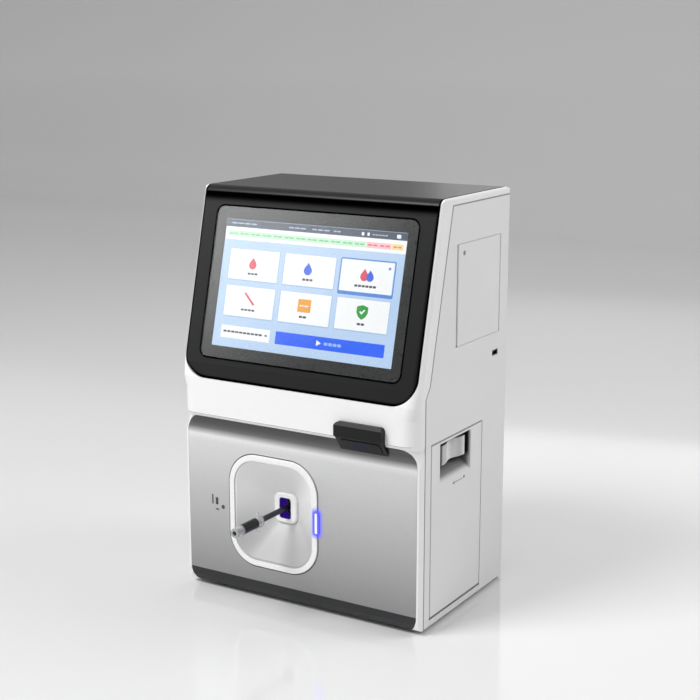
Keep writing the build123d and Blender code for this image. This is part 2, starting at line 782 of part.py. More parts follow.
with BuildPart() as behind_seam:
    block((-half - 5, half + 5), (-20, depth + 5), (0, top_seam))
    add(front_region(0), mode=Mode.SUBTRACT)

with BuildPart() as side_covers:
    add(shell_part)
    add(behind_seam.part, mode=Mode.INTERSECT)
    block((-return_edge, return_edge), (-20, depth + 5), (0, height), Mode.SUBTRACT)

door_axis_radius = wall
door_axis = (half - door_axis_radius, at_y(door_back_y - move_gap - door_axis_radius))
with BuildPart() as side_cover_right:
    add(side_covers.part)
    block((-half - 1, 0), (-20, depth + 5), (0, height), Mode.SUBTRACT)
    block((inner_half - 1, half + 1), (drawer_front_y - drawer_gap, drawer_back_y + drawer_gap),
          (drawer_bottom - drawer_gap, drawer_top + drawer_gap), Mode.SUBTRACT)
    block((inner_half - 1, half + 1), (door_front_y - paper_slit, door_back_y),
          (door_bottom - move_gap, door_top + move_gap), Mode.SUBTRACT)
    block((half - 1, half + 1), (door_front_y - paper_slit - 4, door_front_y),
          (door_bottom - move_gap, door_top + move_gap), Mode.SUBTRACT)
    block((inner_half - 1, half + 1), (usb_y - usb_width / 2 - 0.3, usb_y + usb_width / 2 + 0.3),
          (usb_z - usb_height / 2 - 0.3, usb_z + usb_height / 2 + 0.3), Mode.SUBTRACT)
    for end, way in ((door_top + move_gap, 1), (door_bottom - move_gap, -1)):
        round_bar((*door_axis, end), (0, 0, way), door_axis_radius, 6)
        round_bar((*door_axis, end - way), (0, 0, way), door_pin_radius + fit_gap, 6, Mode.SUBTRACT)
side_cover_right.part.label = "side_cover_right"
export_step(side_cover_right.part, "parts/side_cover_right.step")

with BuildPart() as side_cover_left:
    add(side_covers.part)
    block((0, half + 1), (-20, depth + 5), (0, height), Mode.SUBTRACT)
side_cover_left.part.label = "side_cover_left"
export_step(side_cover_left.part, "parts/side_cover_left.step")

# %% Reagent drawer

recess_x = half - grip_depth
lip_x = half + 1


def grip_profile(grow):
    """Side view of the scooped recess: deep at the top, running out at the bottom."""
    facing_back = Plane(origin=(0, at_y(grip_front_y - grow), 0), x_dir=(1, 0, 0), z_dir=(0, 1, 0))
    with BuildSketch(facing_back) as profile:
        with BuildLine():
            Polyline(
                (lip_x, -(grip_top + grow)), (recess_x - grow, -(grip_top + grow)),
                (recess_x - grow, -(grip_top - grip_straight)),
                (half, -(grip_bottom - grow)), (lip_x, -(grip_bottom - grow)), close=True,
            )
        make_face()
        fillet(profile.vertices().filter_by_position(Axis.X, recess_x - grow - 1, recess_x - grow + 1), 4)
    return profile.sketch


grip_length = grip_back_y - grip_front_y
with BuildPart() as drawer_front:
    block((inner_half, half), (drawer_front_y, drawer_back_y), (drawer_bottom, drawer_top))
    fillet(drawer_front.faces().sort_by(Axis.X)[-1].edges(), 0.6)
    extrude(grip_profile(tub_wall), amount=grip_length + 2 * tub_wall)
    block((half, half + 5), (drawer_front_y - 5, drawer_back_y + 5), (drawer_bottom, drawer_top),
          Mode.SUBTRACT)
    extrude(grip_profile(0), amount=grip_length, mode=Mode.SUBTRACT)
    for y in (grip_front_y - tub_wall - 0.5, grip_back_y - 0.5):
        round_bar((pin_x, at_y(y), pin_z), (0, 1, 0), pin_radius + fit_gap, tub_wall + 1, Mode.SUBTRACT)
drawer_front.part.label = "drawer_front"
export_step(drawer_front.part, "parts/drawer_front.step")

grip_middle = (grip_front_y + grip_back_y) / 2
with BuildPart() as lever_pin:
    round_bar((pin_x, at_y(grip_front_y - tub_wall), pin_z), (0, 1, 0), pin_radius,
              grip_length + 2 * tub_wall)
lever_pin.part.label = "lever_pin"
export_step(lever_pin.part, "parts/lever_pin.step")

with BuildPart() as grip_lever:
    low_y, high_y = at_y(grip_middle - lever_width / 2), at_y(grip_middle + lever_width / 2)
    face_x = pin_x + 5.5
    back_x = pin_x - 3.5
    with BuildSketch(Plane.XY.offset(lever_bottom)):
        with BuildLine():
            Polyline((face_x, low_y), (back_x, low_y), (back_x, high_y), (face_x + 2, high_y))
            Spline(
                (face_x + 2, high_y), (face_x + 1, low_y + lever_width * 0.8),
                (face_x - 2.5, low_y + lever_width * 0.58), (face_x + 1, low_y + lever_width * 0.3),
                (face_x, low_y),
            )
        make_face()
    extrude(amount=lever_top - lever_bottom)
    chamfer(grip_lever.faces().sort_by(Axis.Z)[-1].edges().sort_by(Axis.X)[0], 2.5)
    round_bar((pin_x, low_y - 1, pin_z), (0, 1, 0), pin_radius + run_gap, lever_width + 2, Mode.SUBTRACT)
grip_lever.part.label = "grip_lever"
export_step(grip_lever.part, "parts/grip_lever.step")

rail_bottom = base_top
rail_top = drawer_bottom + 1.2
slide_gap = 0.3
tray_floor = rail_top + slide_gap + 2
tray_front_y = drawer_front_y + 5
tray_back_y = drawer_back_y - 5
rail_width = 8.0
with BuildPart() as drawer_tray:
    block((tray_inner, inner_half), (tray_front_y, tray_back_y), (tray_floor, tray_floor + tray_height))
    fillet(drawer_tray.edges().filter_by(Axis.Z).group_by(Axis.X)[0], 5)
    block((tray_inner + tray_wall, inner_half - tray_wall),
          (tray_front_y + tray_wall, tray_back_y - tray_wall),
          (tray_floor + tray_wall, tray_floor + tray_height + 1), Mode.SUBTRACT)
    for y in (tray_front_y, tray_back_y - rail_width):
        block((tray_inner + 6, inner_half - 2), (y, y + rail_width), (rail_top + slide_gap, tray_floor))
drawer_tray.part.label = "drawer_tray"
export_step(drawer_tray.part, "parts/drawer_tray.step")

with BuildPart() as drawer_rails:
    for y in (tray_front_y, tray_back_y - rail_width):
        block((tray_inner - 6, inner_half - 0.5), (y - 1.5, y + rail_width + 1.5), (rail_bottom, rail_top))
drawer_rails.part.label = "drawer_rails"
export_step(drawer_rails.part, "parts/drawer_rails.step")

pack_gap = 0.5
pack_floor = tray_floor + tray_wall + 0.1
lid_height = 12.0
pack_x = (tray_inner + tray_wall + pack_gap + 6, inner_half - tray_wall - pack_gap - 2)
pack_y = (tray_front_y + tray_wall + pack_gap, tray_back_y - tray_wall - pack_gap)
with BuildPart() as reagent_pack:
    block(pack_x, pack_y, (pack_floor, pack_top - lid_height))
    fillet(reagent_pack.edges().filter_by(Axis.Z), 6)
    fillet(reagent_pack.faces().sort_by(Axis.Z)[0].edges(), 2)
reagent_pack.part.label = "reagent_pack"
export_step(reagent_pack.part, "parts/reagent_pack.step")

with BuildPart() as pack_lid:
    block(pack_x, pack_y, (pack_top - lid_height + 0.1, pack_top - 4))
    fillet(pack_lid.edges().filter_by(Axis.Z), 6)
    with BuildSketch(Plane.XY.offset(pack_top - 4)):
        with Locations(((pack_x[0] + pack_x[1]) / 2 - 20, at_y(sum(pack_y) / 2))):
            with GridLocations(18, 24, 3, 3):
                Circle(6)
                Circle(3, mode=Mode.SUBTRACT)
    extrude(amount=4)
pack_lid.part.label = "pack_lid"
export_step(pack_lid.part, "parts/pack_lid.step")

# %% Printer and its door

ear_thickness = 3.0
ear_low = roll_bottom - 2 - ear_thickness
ear_high = roll_bottom + paper_width + 2
shaft_radius = 1.5
with BuildPart() as printer_door:
    block((inner_half, half), (door_front_y, door_back_y - move_gap - door_axis_radius),
          (door_bottom, door_top))
    round_bar((*door_axis, door_bottom), (0, 0, 1), door_axis_radius, door_top - door_bottom)
    fillet(printer_door.faces().sort_by(Axis.Y)[0].edges(), 0.8)
    for low in (ear_low, ear_high):
        block((platen_x, inner_half + 0.5), (platen_y - 3, platen_y + 3), (low, low + ear_thickness))
        round_bar((platen_x, at_y(platen_y), low), (0, 0, 1), 3, ear_thickness)
        round_bar((platen_x, at_y(platen_y), low - 1), (0, 0, 1), shaft_radius + run_gap,
                  ear_thickness + 2, Mode.SUBTRACT)
    for end, way in ((door_top, -1), (door_bottom, 1)):
        round_bar((*door_axis, end - way), (0, 0, way), door_pin_radius + run_gap, 9, Mode.SUBTRACT)
    round_bar((inner_half - 1, at_y(button_y), button_z), (1, 0, 0), button_radius + 0.2, wall + 2,
              Mode.SUBTRACT)
printer_door.part.label = "printer_door"
export_step(printer_door.part, "parts/printer_door.step")

with BuildPart() as door_pins:
    for end, way in ((door_top + move_gap + 5, -1), (door_bottom - move_gap - 5, 1)):
        round_bar((*door_axis, end), (0, 0, way), door_pin_radius, 12)
door_pins.part.label = "door_pins"
export_step(door_pins.part, "parts/door_pins.step")

with BuildPart() as door_button:
    round_bar((inner_half - 3, at_y(button_y), button_z), (1, 0, 0), button_radius, wall + 3)
    round_bar((inner_half - 3, at_y(button_y), button_z), (1, 0, 0), button_radius + 1, 1)
    fillet(door_button.faces().sort_by(Axis.X)[-1].edges(), 0.5)
door_button.part.label = "door_button"
export_step(door_button.part, "parts/door_button.step")

with BuildPart() as platen_roller:
    round_bar((platen_x, at_y(platen_y), roll_bottom - 1), (0, 0, 1), platen_radius, paper_width + 2)
    round_bar((platen_x, at_y(platen_y), ear_low), (0, 0, 1), shaft_radius,
              ear_high + ear_thickness - ear_low)
platen_roller.part.label = "platen_roller"
export_step(platen_roller.part, "parts/platen_roller.step")

with BuildPart() as paper_roll:
    with BuildSketch(Plane.XY.offset(roll_bottom)):
        with Locations((roll_x, at_y(roll_y))):
            Circle(roll_radius)
            Circle(spindle_radius + run_gap, mode=Mode.SUBTRACT)
    extrude(amount=paper_width)
paper_roll.part.label = "paper_roll"
export_step(paper_roll.part, "parts/paper_roll.step")

stand_top = roll_bottom - 10
cradle_floor = roll_bottom - 1
cradle_inner = roll_radius + 2.5
cradle_outer = cradle_inner + sheet
mech_face = platen_x - platen_radius - 0.4
with BuildPart() as printer_mech:
    with BuildSketch(Plane.XY.offset(stand_top + 0.1)):
        with Locations((roll_x, at_y(roll_y))):
            Circle(cradle_outer)
    extrude(amount=cradle_floor - stand_top)
    with BuildSketch(Plane.XY.offset(cradle_floor)):
        with Locations((roll_x, at_y(roll_y))):
            Circle(cradle_outer)
            Circle(cradle_inner, mode=Mode.SUBTRACT)
    extrude(amount=paper_width)
    block((roll_x + 8, inner_half + 5), (roll_y - 30, roll_y + 30), (cradle_floor, door_top), Mode.SUBTRACT)
    block((mech_face - 28, mech_face), (platen_y - 9, roll_y - cradle_inner - 0.5),
          (stand_top + 0.1, cradle_floor + paper_width))
    round_bar((roll_x, at_y(roll_y), cradle_floor - 1), (0, 0, 1), spindle_radius, paper_width - 8)
printer_mech.part.label = "printer_mech"
export_step(printer_mech.part, "parts/printer_mech.step")

with BuildPart() as printer_bracket:
    x = (roll_x - cradle_outer, mech_face)
    y = (platen_y - 9, roll_y + cradle_outer)
    block(x, y, (stand_top - sheet, stand_top))
    block(x, (y[0], y[0] + sheet), (shelf_top + 0.1, stand_top))
    block(x, (roll_y + 8, roll_y + 8 + sheet), (shelf_top + 0.1, stand_top))
printer_bracket.part.label = "printer_bracket"
export_step(printer_bracket.part, "parts/printer_bracket.step")

with BuildPart() as side_usb_socket:
    block((inner_half - 14, half - 0.4), (usb_y - usb_width / 2, usb_y + usb_width / 2),
          (usb_z - usb_height / 2, usb_z + usb_height / 2))
    block((inner_half - 2.2, inner_half - 0.2), (usb_y - usb_width / 2 - 4, usb_y + usb_width / 2 + 4),
          (usb_z - usb_height / 2 - 2, usb_z + usb_height / 2 + 2))
    block((inner_half - 10, half + 1), (usb_y - usb_width / 2 + 0.6, usb_y + usb_width / 2 - 0.6),
          (usb_z - usb_height / 2 + 0.6, usb_z + usb_height / 2 - 0.6), Mode.SUBTRACT)
    block((inner_half - 11, half - 2), (usb_y - usb_width / 2 + 1.6, usb_y + usb_width / 2 - 1.6),
          (usb_z + 0.2, usb_z + 1.8))
side_usb_socket.part.label = "side_usb_socket"
export_step(side_usb_socket.part, "parts/side_usb_socket.step")

# %% Chassis, shelf and electronics

base_front = skirt_tuck + wall + joint_gap
with BuildPart() as base_plate:
    block((-inner_half + 0.3, inner_half - 0.3), (base_front, rear_inside), (base_z, base_top))
    fillet(base_plate.edges().filter_by(Axis.Z), 6)
base_plate.part.label = "base_plate"
export_step(base_plate.part, "parts/base_plate.step")

with BuildPart() as feet:
    with BuildSketch(Plane.XY.offset(base_z)):
        with Locations((0, at_y(depth / 2 + 4))):
            with GridLocations(width - 50, depth - 50, 2, 2):
                Circle(foot_radius)
    extrude(amount=-base_z, taper=12)
feet.part.label = "feet"
export_step(feet.part, "parts/feet.step")

wall_x = inner_half - 3.5
with BuildPart() as chassis_walls:
    middle_x = tray_inner - 11
    block((middle_x, middle_x + sheet), (drawer_front_y - 1, drawer_back_y + 6), (base_top, shelf_z - 0.1))
    block((-wall_x, -wall_x + sheet), (drawer_front_y, rear_inside - 3), (base_top, shelf_z - 0.1))
    block((wall_x - sheet, wall_x), (drawer_back_y + 10, rear_inside - 3), (base_top, shelf_z - 0.1))
    block((-wall_x + sheet + 1, pump_x + 34), (70, 70 + sheet), (base_top, 165))
    round_bar((pump_x, at_y(69), pump_z), (0, 1, 0), 3, sheet + 2, Mode.SUBTRACT)
chassis_walls.part.label = "chassis_walls"
export_step(chassis_walls.part, "parts/chassis_walls.step")

board_x = (18.0 - half, 198.0 - half)
board_y = (rear_inside - 122, rear_inside - 4)
with BuildPart() as upper_shelf:
    block((-wall_x, wall_x), (drawer_front_y, rear_inside - 1), (shelf_z, shelf_top))
    with BuildSketch(Plane.XY.offset(shelf_top)):
        with Locations((sum(board_x) / 2, at_y(sum(board_y) / 2))):
            with GridLocations(board_x[1] - board_x[0] - 12, board_y[1] - board_y[0] - 12, 2, 2):
                Circle(3)
    extrude(amount=board_z - shelf_top - 0.1)
upper_shelf.part.label = "upper_shelf"
export_step(upper_shelf.part, "parts/upper_shelf.step")

board_top = board_z + board_thickness
# Chips and blocks on the board: place from its left front corner, size and height
chips = (
    (35, 30, 26, 26, 9), (80, 35, 16, 16, 2.5), (80, 65, 30, 12, 3),
    (135, 40, 20, 20, 2.5), (150, 80, 30, 22, 12), (25, 75, 12, 40, 5),
)
with BuildPart() as mainboard:
    block(board_x, board_y, (board_z, board_top))
    for right, back, size_x, size_y, tall in chips:
        x, y = board_x[0] + right, board_y[0] + back
        block((x - size_x / 2, x + size_x / 2), (y - size_y / 2, y + size_y / 2),
              (board_top, board_top + tall))
mainboard.part.label = "mainboard"
export_step(mainboard.part, "parts/mainboard.step")

socket_bottom = board_top + 0.1
lan_x, lan_width, lan_height = board_x[0] + 63.0, 16.0, 13.5
stack_x, stack_width, stack_height = board_x[0] + 95.0, 14.5, 15.6
with BuildPart() as rear_sockets:
    for x, size_x, tall in ((lan_x, lan_width, lan_height), (stack_x, stack_width, stack_height)):
        block((x - size_x / 2, x + size_x / 2), (board_y[1] - 16, rear_outside + 0.4),
              (socket_bottom, socket_bottom + tall))
    block((lan_x - 5.9, lan_x + 5.9), (board_y[1] - 9, rear_outside + 1),
          (socket_bottom + 2, socket_bottom + 10), Mode.SUBTRACT)
    for low in (1.2, 8.6):
        block((stack_x - 6.2, stack_x + 6.2), (board_y[1] - 9, rear_outside + 1),
              (socket_bottom + low, socket_bottom + low + 5.2), Mode.SUBTRACT)
        block((stack_x - 5.4, stack_x + 5.4), (board_y[1] - 10, rear_outside - 1),
              (socket_bottom + low + 2.6, socket_bottom + low + 4.4))
rear_sockets.part.label = "rear_sockets"
export_step(rear_sockets.part, "parts/rear_sockets.step")

supply_right = inlet_x - 57.0
supply_left = supply_right - 100.0
supply_front = rear_inside - 29.0
supply_top = 55.0
with BuildPart() as power_supply:
    block((supply_left, supply_right), (supply_front, rear_inside - 1), (base_top + 0.1, supply_top))
    with BuildSketch(Plane.XY.offset(supply_top)):
        with Locations(((supply_left + supply_right) / 2, at_y((supply_front + rear_inside - 1) / 2))):
            with GridLocations(6, 1, 14, 1):
                Rectangle(2.4, 18)
    extrude(amount=-1, mode=Mode.SUBTRACT)
power_supply.part.label = "power_supply"
export_step(power_supply.part, "parts/power_supply.step")

# %% Pump and valves

plate_front = 70.0
cup_outer = tube_orbit + tube_radius + 7
cup_inner = tube_orbit + tube_radius + 0.2
cup_front = 46.0
with BuildPart() as pump_body:
    with BuildSketch(Plane(origin=(pump_x, at_y(cup_front), pump_z), x_dir=(1, 0, 0), z_dir=(0, 1, 0))):
        Circle(cup_outer)
    extrude(amount=plate_front - 0.2 - cup_front)
    round_bar((pump_x, at_y(cup_front - 1), pump_z), (0, 1, 0), cup_inner, plate_front - cup_front - 3,
              Mode.SUBTRACT)
    block((pump_x - cup_inner, pump_x + cup_inner), (cup_front - 1, plate_front - 4),
          (pump_z, pump_z + cup_outer + 1), Mode.SUBTRACT)
    round_bar((pump_x, at_y(60), pump_z), (0, 1, 0), 3, 12, Mode.SUBTRACT)
pump_body.part.label = "pump_body"
export_step(pump_body.part, "parts/pump_body.step")

shoe_radius = 4.0
shoe_orbit = tube_orbit - tube_radius - 0.4 - shoe_radius
with BuildPart() as pump_rotor:
    with BuildSketch(Plane(origin=(pump_x, at_y(50), pump_z), x_dir=(1, 0, 0), z_dir=(0, 1, 0))):
        Circle(8)
        with PolarLocations(shoe_orbit, 3, start_angle=90):
            Circle(shoe_radius)
        with PolarLocations(shoe_orbit / 2, 3, start_angle=90):
            Rectangle(shoe_orbit, 6)
    extrude(amount=14)
    round_bar((pump_x, at_y(60), pump_z), (0, 1, 0), 2, 20)
pump_rotor.part.label = "pump_rotor"
export_step(pump_rotor.part, "parts/pump_rotor.step")

tube_y = 57.0
valve_bottom = 112.0
with BuildPart() as pump_tube:
    with BuildLine() as tube_path:
        top_left = (pump_x - tube_orbit, at_y(tube_y), valve_bottom - 0.1)
        low_left = (pump_x - tube_orbit, at_y(tube_y), pump_z)
        low_right = (pump_x + tube_orbit, at_y(tube_y), pump_z)
        top_right = (pump_x + tube_orbit, at_y(tube_y), valve_bottom - 0.1)
        Line(top_left, low_left)
        ThreePointArc(low_left, (pump_x, at_y(tube_y), pump_z - tube_orbit), low_right)
        Line(low_right, top_right)
    with BuildSketch(Plane(origin=top_left, z_dir=(0, 0, -1))):
        Circle(tube_radius)
    sweep(path=tube_path.wires()[0])
pump_tube.part.label = "pump_tube"
export_step(pump_tube.part, "parts/pump_tube.step")

with BuildPart() as pump_motor:
    round_bar((pump_x, at_y(plate_front + sheet + 0.2), pump_z), (0, 1, 0), 16, 34)
    round_bar((pump_x, at_y(plate_front), pump_z), (0, 1, 0), 2 + run_gap, 12, Mode.SUBTRACT)
    chamfer(pump_motor.faces().sort_by(Axis.Y)[-1].edges(), 2)
pump_motor.part.label = "pump_motor"
export_step(pump_motor.part, "parts/pump_motor.step")

with BuildPart() as valve_block:
    block((pump_x - 30, pump_x + 30), (tube_y - 8, plate_front - 0.2), (valve_bottom, valve_bottom + 18))
    with BuildSketch(Plane.XY.offset(valve_bottom + 18)):
        with Locations((pump_x, at_y(tube_y + 2))):
            with GridLocations(tube_orbit, 1, 3, 1):
                Rectangle(tube_orbit - 3.5, 16)
    extrude(amount=24)
    fillet(valve_block.edges().filter_by(Axis.Z).filter_by(
        lambda edge: edge.center().Z > valve_bottom + 20), 2)
valve_block.part.label = "valve_block"
export_step(valve_block.part, "parts/valve_block.step")

# %% Back

rear_top = height - top_rear_radius - 0.5
rear_half = inner_half - (rear_radius - wall) - 0.3
screw_x = rear_half - 13.7
screw_high = height - 32.8
screw_levels = (75.0, 215.0, (215.0 + screw_high) / 2, screw_high)
vent_x = width / 2 - 83.0
vent_z = height - 102.8
with BuildPart() as rear_panel:
    block((-rear_half, rear_half), (rear_inside, rear_outside), (ground_gap + 1, rear_top))
    with BuildSketch(Plane(origin=(0, at_y(rear_inside - 1), 0), x_dir=(1, 0, 0), z_dir=(0, 1, 0))):
        with Locations((fan_x, -fan_z)):
            Circle(fan_size / 2 - 2)
        with Locations((vent_x, -vent_z)):
            with GridLocations(1, 9, 1, 9):
                SlotOverall(90, 3.6)
    extrude(amount=rear_sheet + 2, mode=Mode.SUBTRACT)
    for x, size_x, tall in ((lan_x, lan_width, lan_height), (stack_x, stack_width, stack_height)):
        block((x - size_x / 2 - 0.3, x + size_x / 2 + 0.3), (rear_inside - 1, rear_outside + 1),
              (socket_bottom - 0.3, socket_bottom + tall + 0.3), Mode.SUBTRACT)
    block((inlet_x - 27, inlet_x + 27), (rear_inside - 1, rear_outside + 1),
          (inlet_z - 12.3, inlet_z + 12.3), Mode.SUBTRACT)
    for x in (-screw_x, screw_x):
        for z in screw_levels:
            round_bar((x, at_y(rear_inside - 1), z), (0, 1, 0), 1.65, rear_sheet + 2, Mode.SUBTRACT)
rear_panel.part.label = "rear_panel"
export_step(rear_panel.part, "parts/rear_panel.step")

with BuildPart() as rear_screws:
    for x in (-screw_x, screw_x):
        for z in screw_levels:
            round_bar((x, at_y(rear_inside - 4), z), (0, 1, 0), 1.5, rear_sheet + 5)
            round_bar((x, at_y(rear_outside + 0.05), z), (0, 1, 0), 2.9, 1.7)
rear_screws.part.label = "rear_screws"
export_step(rear_screws.part, "parts/rear_screws.step")

inlet_front = depth + rear_proud
socket_x = inlet_x - 12.5
switch_x = inlet_x + 17.5
rocker_radius = 1.5
with BuildPart() as power_inlet:
    rounded_prism(inlet_x, inlet_z, 60, 32, 3, rear_outside + 0.05, inlet_front)
    block((inlet_x - 26.7, inlet_x + 26.7), (rear_inside - 20, rear_outside + 0.05),
          (inlet_z - 12, inlet_z + 12))
    rounded_prism(socket_x, inlet_z, 24, 17, 3, inlet_front - 17, inlet_front + 1, Mode.SUBTRACT)
    block((switch_x - 6.5, switch_x + 6.5), (inlet_front - 14, inlet_front + 1),
          (inlet_z - 10.5, inlet_z + 10.5), Mode.SUBTRACT)
    for x, z in ((-7, -1), (0, 2.5), (7, -1)):
        block((socket_x + x - 1, socket_x + x + 1), (inlet_front - 18, inlet_front - 3),
              (inlet_z + z - 3, inlet_z + z + 1))
    round_bar((switch_x - 7, at_y(inlet_front - 6), inlet_z), (1, 0, 0), rocker_radius, 14)
power_inlet.part.label = "power_inlet"
export_step(power_inlet.part, "parts/power_inlet.step")

rocker_tilt = 8.0
with BuildPart() as rocker_switch:
    rocker_side = Plane(origin=(switch_x - 6, at_y(inlet_front - 6), inlet_z), x_dir=(0, 1, 0),
                        z_dir=(1, 0, 0))
    with BuildSketch(rocker_side):
        with BuildLine():
            rise = 9.3 * sin(radians(rocker_tilt))
            Polyline((-4, -5), (-4, 5), (5.2 - rise, 9.3), (5.4, 0), (5.2 - rise, -9.3), close=True)
        make_face()
        Circle(rocker_radius + run_gap, mode=Mode.SUBTRACT)
    extrude(amount=12)
rocker_switch.part.label = "rocker_switch"
rocker_at_rest = rocker_switch.part.rotate(
    Axis((0, at_y(inlet_front - 6), inlet_z), (1, 0, 0)), rocker_tilt)
rocker_at_rest.label = "rocker_switch"
export_step(rocker_at_rest, "parts/rocker_switch.step")

fan_front = rear_inside - 0.2 - fan_thickness
blade_count = 7
with BuildPart() as fan_frame:
    rounded_prism(fan_x, fan_z, fan_size, fan_size, 4, fan_front, rear_inside - 0.2)
    round_bar((fan_x, at_y(fan_front - 1), fan_z), (0, 1, 0), fan_size / 2 - 1.5, fan_thickness + 2,
              Mode.SUBTRACT)
    for turn in (45, 135):
        with BuildSketch(Plane(origin=(fan_x, at_y(fan_front), fan_z), x_dir=(1, 0, 0), z_dir=(0, 1, 0))):
            Rectangle(fan_size + 6, 4, rotation=turn)
            Rectangle(fan_size + 6 - 10, 4, rotation=turn)
        extrude(amount=2)
    round_bar((fan_x, at_y(fan_front), fan_z), (0, 1, 0), 12, 2)
    round_bar((fan_x, at_y(fan_front), fan_z), (0, 1, 0), 2, fan_thickness - 2)
fan_frame.part.label = "fan_frame"
export_step(fan_frame.part, "parts/fan_frame.step")

with BuildPart() as fan_rotor:
    round_bar((fan_x, at_y(fan_front + 2.6), fan_z), (0, 1, 0), 12, fan_thickness - 4.6)
    for index in range(blade_count):
        turn = radians(360 / blade_count * index)
        radial = Vector(cos(turn), 0, sin(turn))
        tangent = Vector(-sin(turn), 0, cos(turn))
        pitch = (Vector(0, 1, 0) + tangent * 1.1).normalized()
        middle = Vector(fan_x, at_y(fan_front + fan_thickness / 2), fan_z) + radial * 11
        with BuildSketch(Plane(origin=middle, x_dir=pitch, z_dir=radial)):
            Rectangle(11, 1.4)
        extrude(amount=15)
    round_bar((fan_x, at_y(fan_front), fan_z), (0, 1, 0), 2 + run_gap, fan_thickness, Mode.SUBTRACT)
fan_rotor.part.label = "fan_rotor"
export_step(fan_rotor.part, "parts/fan_rotor.step")

with BuildPart() as fan_guard:
    guard_face = Plane(origin=(fan_x, at_y(rear_outside + 0.1), fan_z), x_dir=(1, 0, 0),
                       z_dir=(0, 1, 0))
    with BuildSketch(guard_face):
        for radius in (7, 14, 21, 28):
            Circle(radius + 0.8)
            Circle(radius - 0.8, mode=Mode.SUBTRACT)
        for turn in (45, 135):
            Rectangle(2 * 35, 1.6, rotation=turn)
        with GridLocations(50, 50, 2, 2):
            Circle(3.2)
    extrude(amount=2)
fan_guard.part.label = "fan_guard"
export_step(fan_guard.part, "parts/fan_guard.step")
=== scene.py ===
# %% [markdown]
# # A benchtop blood gas analyzer
#
# The CAD model already holds every rigid part in its real size and place. This notebook dresses it:
# each surface gets the finish that its material and its making leave on it, with painted light and
# shade on some of them, and the few things that are looks rather than solids, such as the picture on
# the display, are modelled as thin pieces on top. Nothing of the CAD model is moved.

# %% The CAD model
from math import acos, atan2, cos, pi, radians, sin, tan

import bmesh
import bpy
from mathutils import Matrix, Vector


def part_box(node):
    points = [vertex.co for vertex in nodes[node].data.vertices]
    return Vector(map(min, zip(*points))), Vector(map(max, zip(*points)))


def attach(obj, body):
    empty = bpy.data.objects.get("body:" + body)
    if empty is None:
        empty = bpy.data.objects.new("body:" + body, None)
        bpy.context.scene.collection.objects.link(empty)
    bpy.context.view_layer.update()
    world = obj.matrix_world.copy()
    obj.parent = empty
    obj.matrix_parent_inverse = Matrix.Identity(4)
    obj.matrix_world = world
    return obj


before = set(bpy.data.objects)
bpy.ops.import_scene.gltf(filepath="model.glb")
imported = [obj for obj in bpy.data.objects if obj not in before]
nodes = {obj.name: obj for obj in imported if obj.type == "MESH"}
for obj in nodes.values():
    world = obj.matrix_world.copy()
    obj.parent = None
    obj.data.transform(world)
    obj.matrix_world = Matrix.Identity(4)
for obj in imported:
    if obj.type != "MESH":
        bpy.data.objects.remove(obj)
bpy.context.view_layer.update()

MM = 0.001

# %% [markdown]
# ## The camera
#
# The photograph is a square, taken from the right and a little above with a short telephoto
# lens. Matching the corners of the housing in it gave the place, the aim and the focal
# length, so every edge of the model falls on the edge that it stands for.

# %% Camera at the photograph's angle
PHOTO_SIDE = 700
FOCAL_PIXELS = 1417.7
SENSOR = 36.0

camera_data = bpy.data.cameras.new("photo_camera")
camera_data.sensor_width = SENSOR
camera_data.lens = FOCAL_PIXELS / PHOTO_SIDE * SENSOR
camera = bpy.data.objects.new("photo_camera", camera_data)
bpy.context.scene.collection.objects.link(camera)
bpy.context.scene.camera = camera
camera.location = Vector((771.0, -1225.05, 587.2)) * MM
aim = Vector((2.4, 34.25, 258.8)) * MM
camera.rotation_euler = (aim - camera.location).to_track_quat("-Z", "Y").to_euler()
print("lens:", round(camera_data.lens, 1), "mm on", SENSOR, "mm")

# %% [markdown]
# ## Colour and nodes
#
# Colours are written as sRGB hex values, the way a paint chip is measured, and one function
# turns them to the linear values that the shader wants. One more function adds a node, sets
# it and links it, so that a finish reads as a short list of what it is made of. A third
# measures a CAD part, because finishes and signs take their places from the parts.

# %% Helpers for colours, nodes and sizes
def colour(code):
    """Linear colour of an sRGB hex value."""
    channels = [int(code[start:start + 2], 16) / 255 for start in (0, 2, 4)]
    linear = [c / 12.92 if c <= 0.04045 else ((c + 0.055) / 1.055) ** 2.4 for c in channels]
    return (*linear, 1.0)


def add_node(tree, kind, inputs=None, **settings):
    """Adds a shader node and fills or links its inputs; a node there means its first output."""
    node = tree.nodes.new("ShaderNode" + kind)
    for name, value in settings.items():
        setattr(node, name, value)
    for socket, value in (inputs or {}).items():
        if isinstance(value, bpy.types.Node):
            value = value.outputs[0]
        if isinstance(value, bpy.types.NodeSocket):
            tree.links.new(value, node.inputs[socket])
        else:
            node.inputs[socket].default_value = value
    return node


def measure(name):
    """Lowest corner, highest corner, middle and half size of a CAD part, in millimetres."""
    low, high = [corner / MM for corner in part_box(name)]
    return low, high, (low + high) / 2, (high - low) / 2


def rounded(values, digits=1):
    """Numbers to print."""
    return [round(value, digits) for value in values]


# The colour mix node has a socket of each kind under the same names, so they go by number.
MIX_SHARE, MIX_FIRST, MIX_SECOND, MIX_RESULT = 0, 6, 7, 2
print("white paint is", rounded(colour("f4f5f6"), 3))

# %% [markdown]
# ## One recipe for a made surface
#
# Moulded plastic, powder coat, rolled sheet and ground steel differ in numbers, not in kind.
# All of them have a base colour that drifts a little from place to place, a fine relief left
# by the tool, and a gloss that is broken where the relief is rough. The recipe takes the
# size of each in millimetres. The real relief of a mould is a few tenths of a millimetre
# wide, too fine for one pixel here, so it is drawn about a millimetre wide and shallow.

# %% The recipe
def feed(socket, name):
    """Links a socket to an input of the finish that its node is part of."""
    tree = socket.id_data
    tree.links.new(socket, tree.nodes["Principled BSDF"].inputs[name])


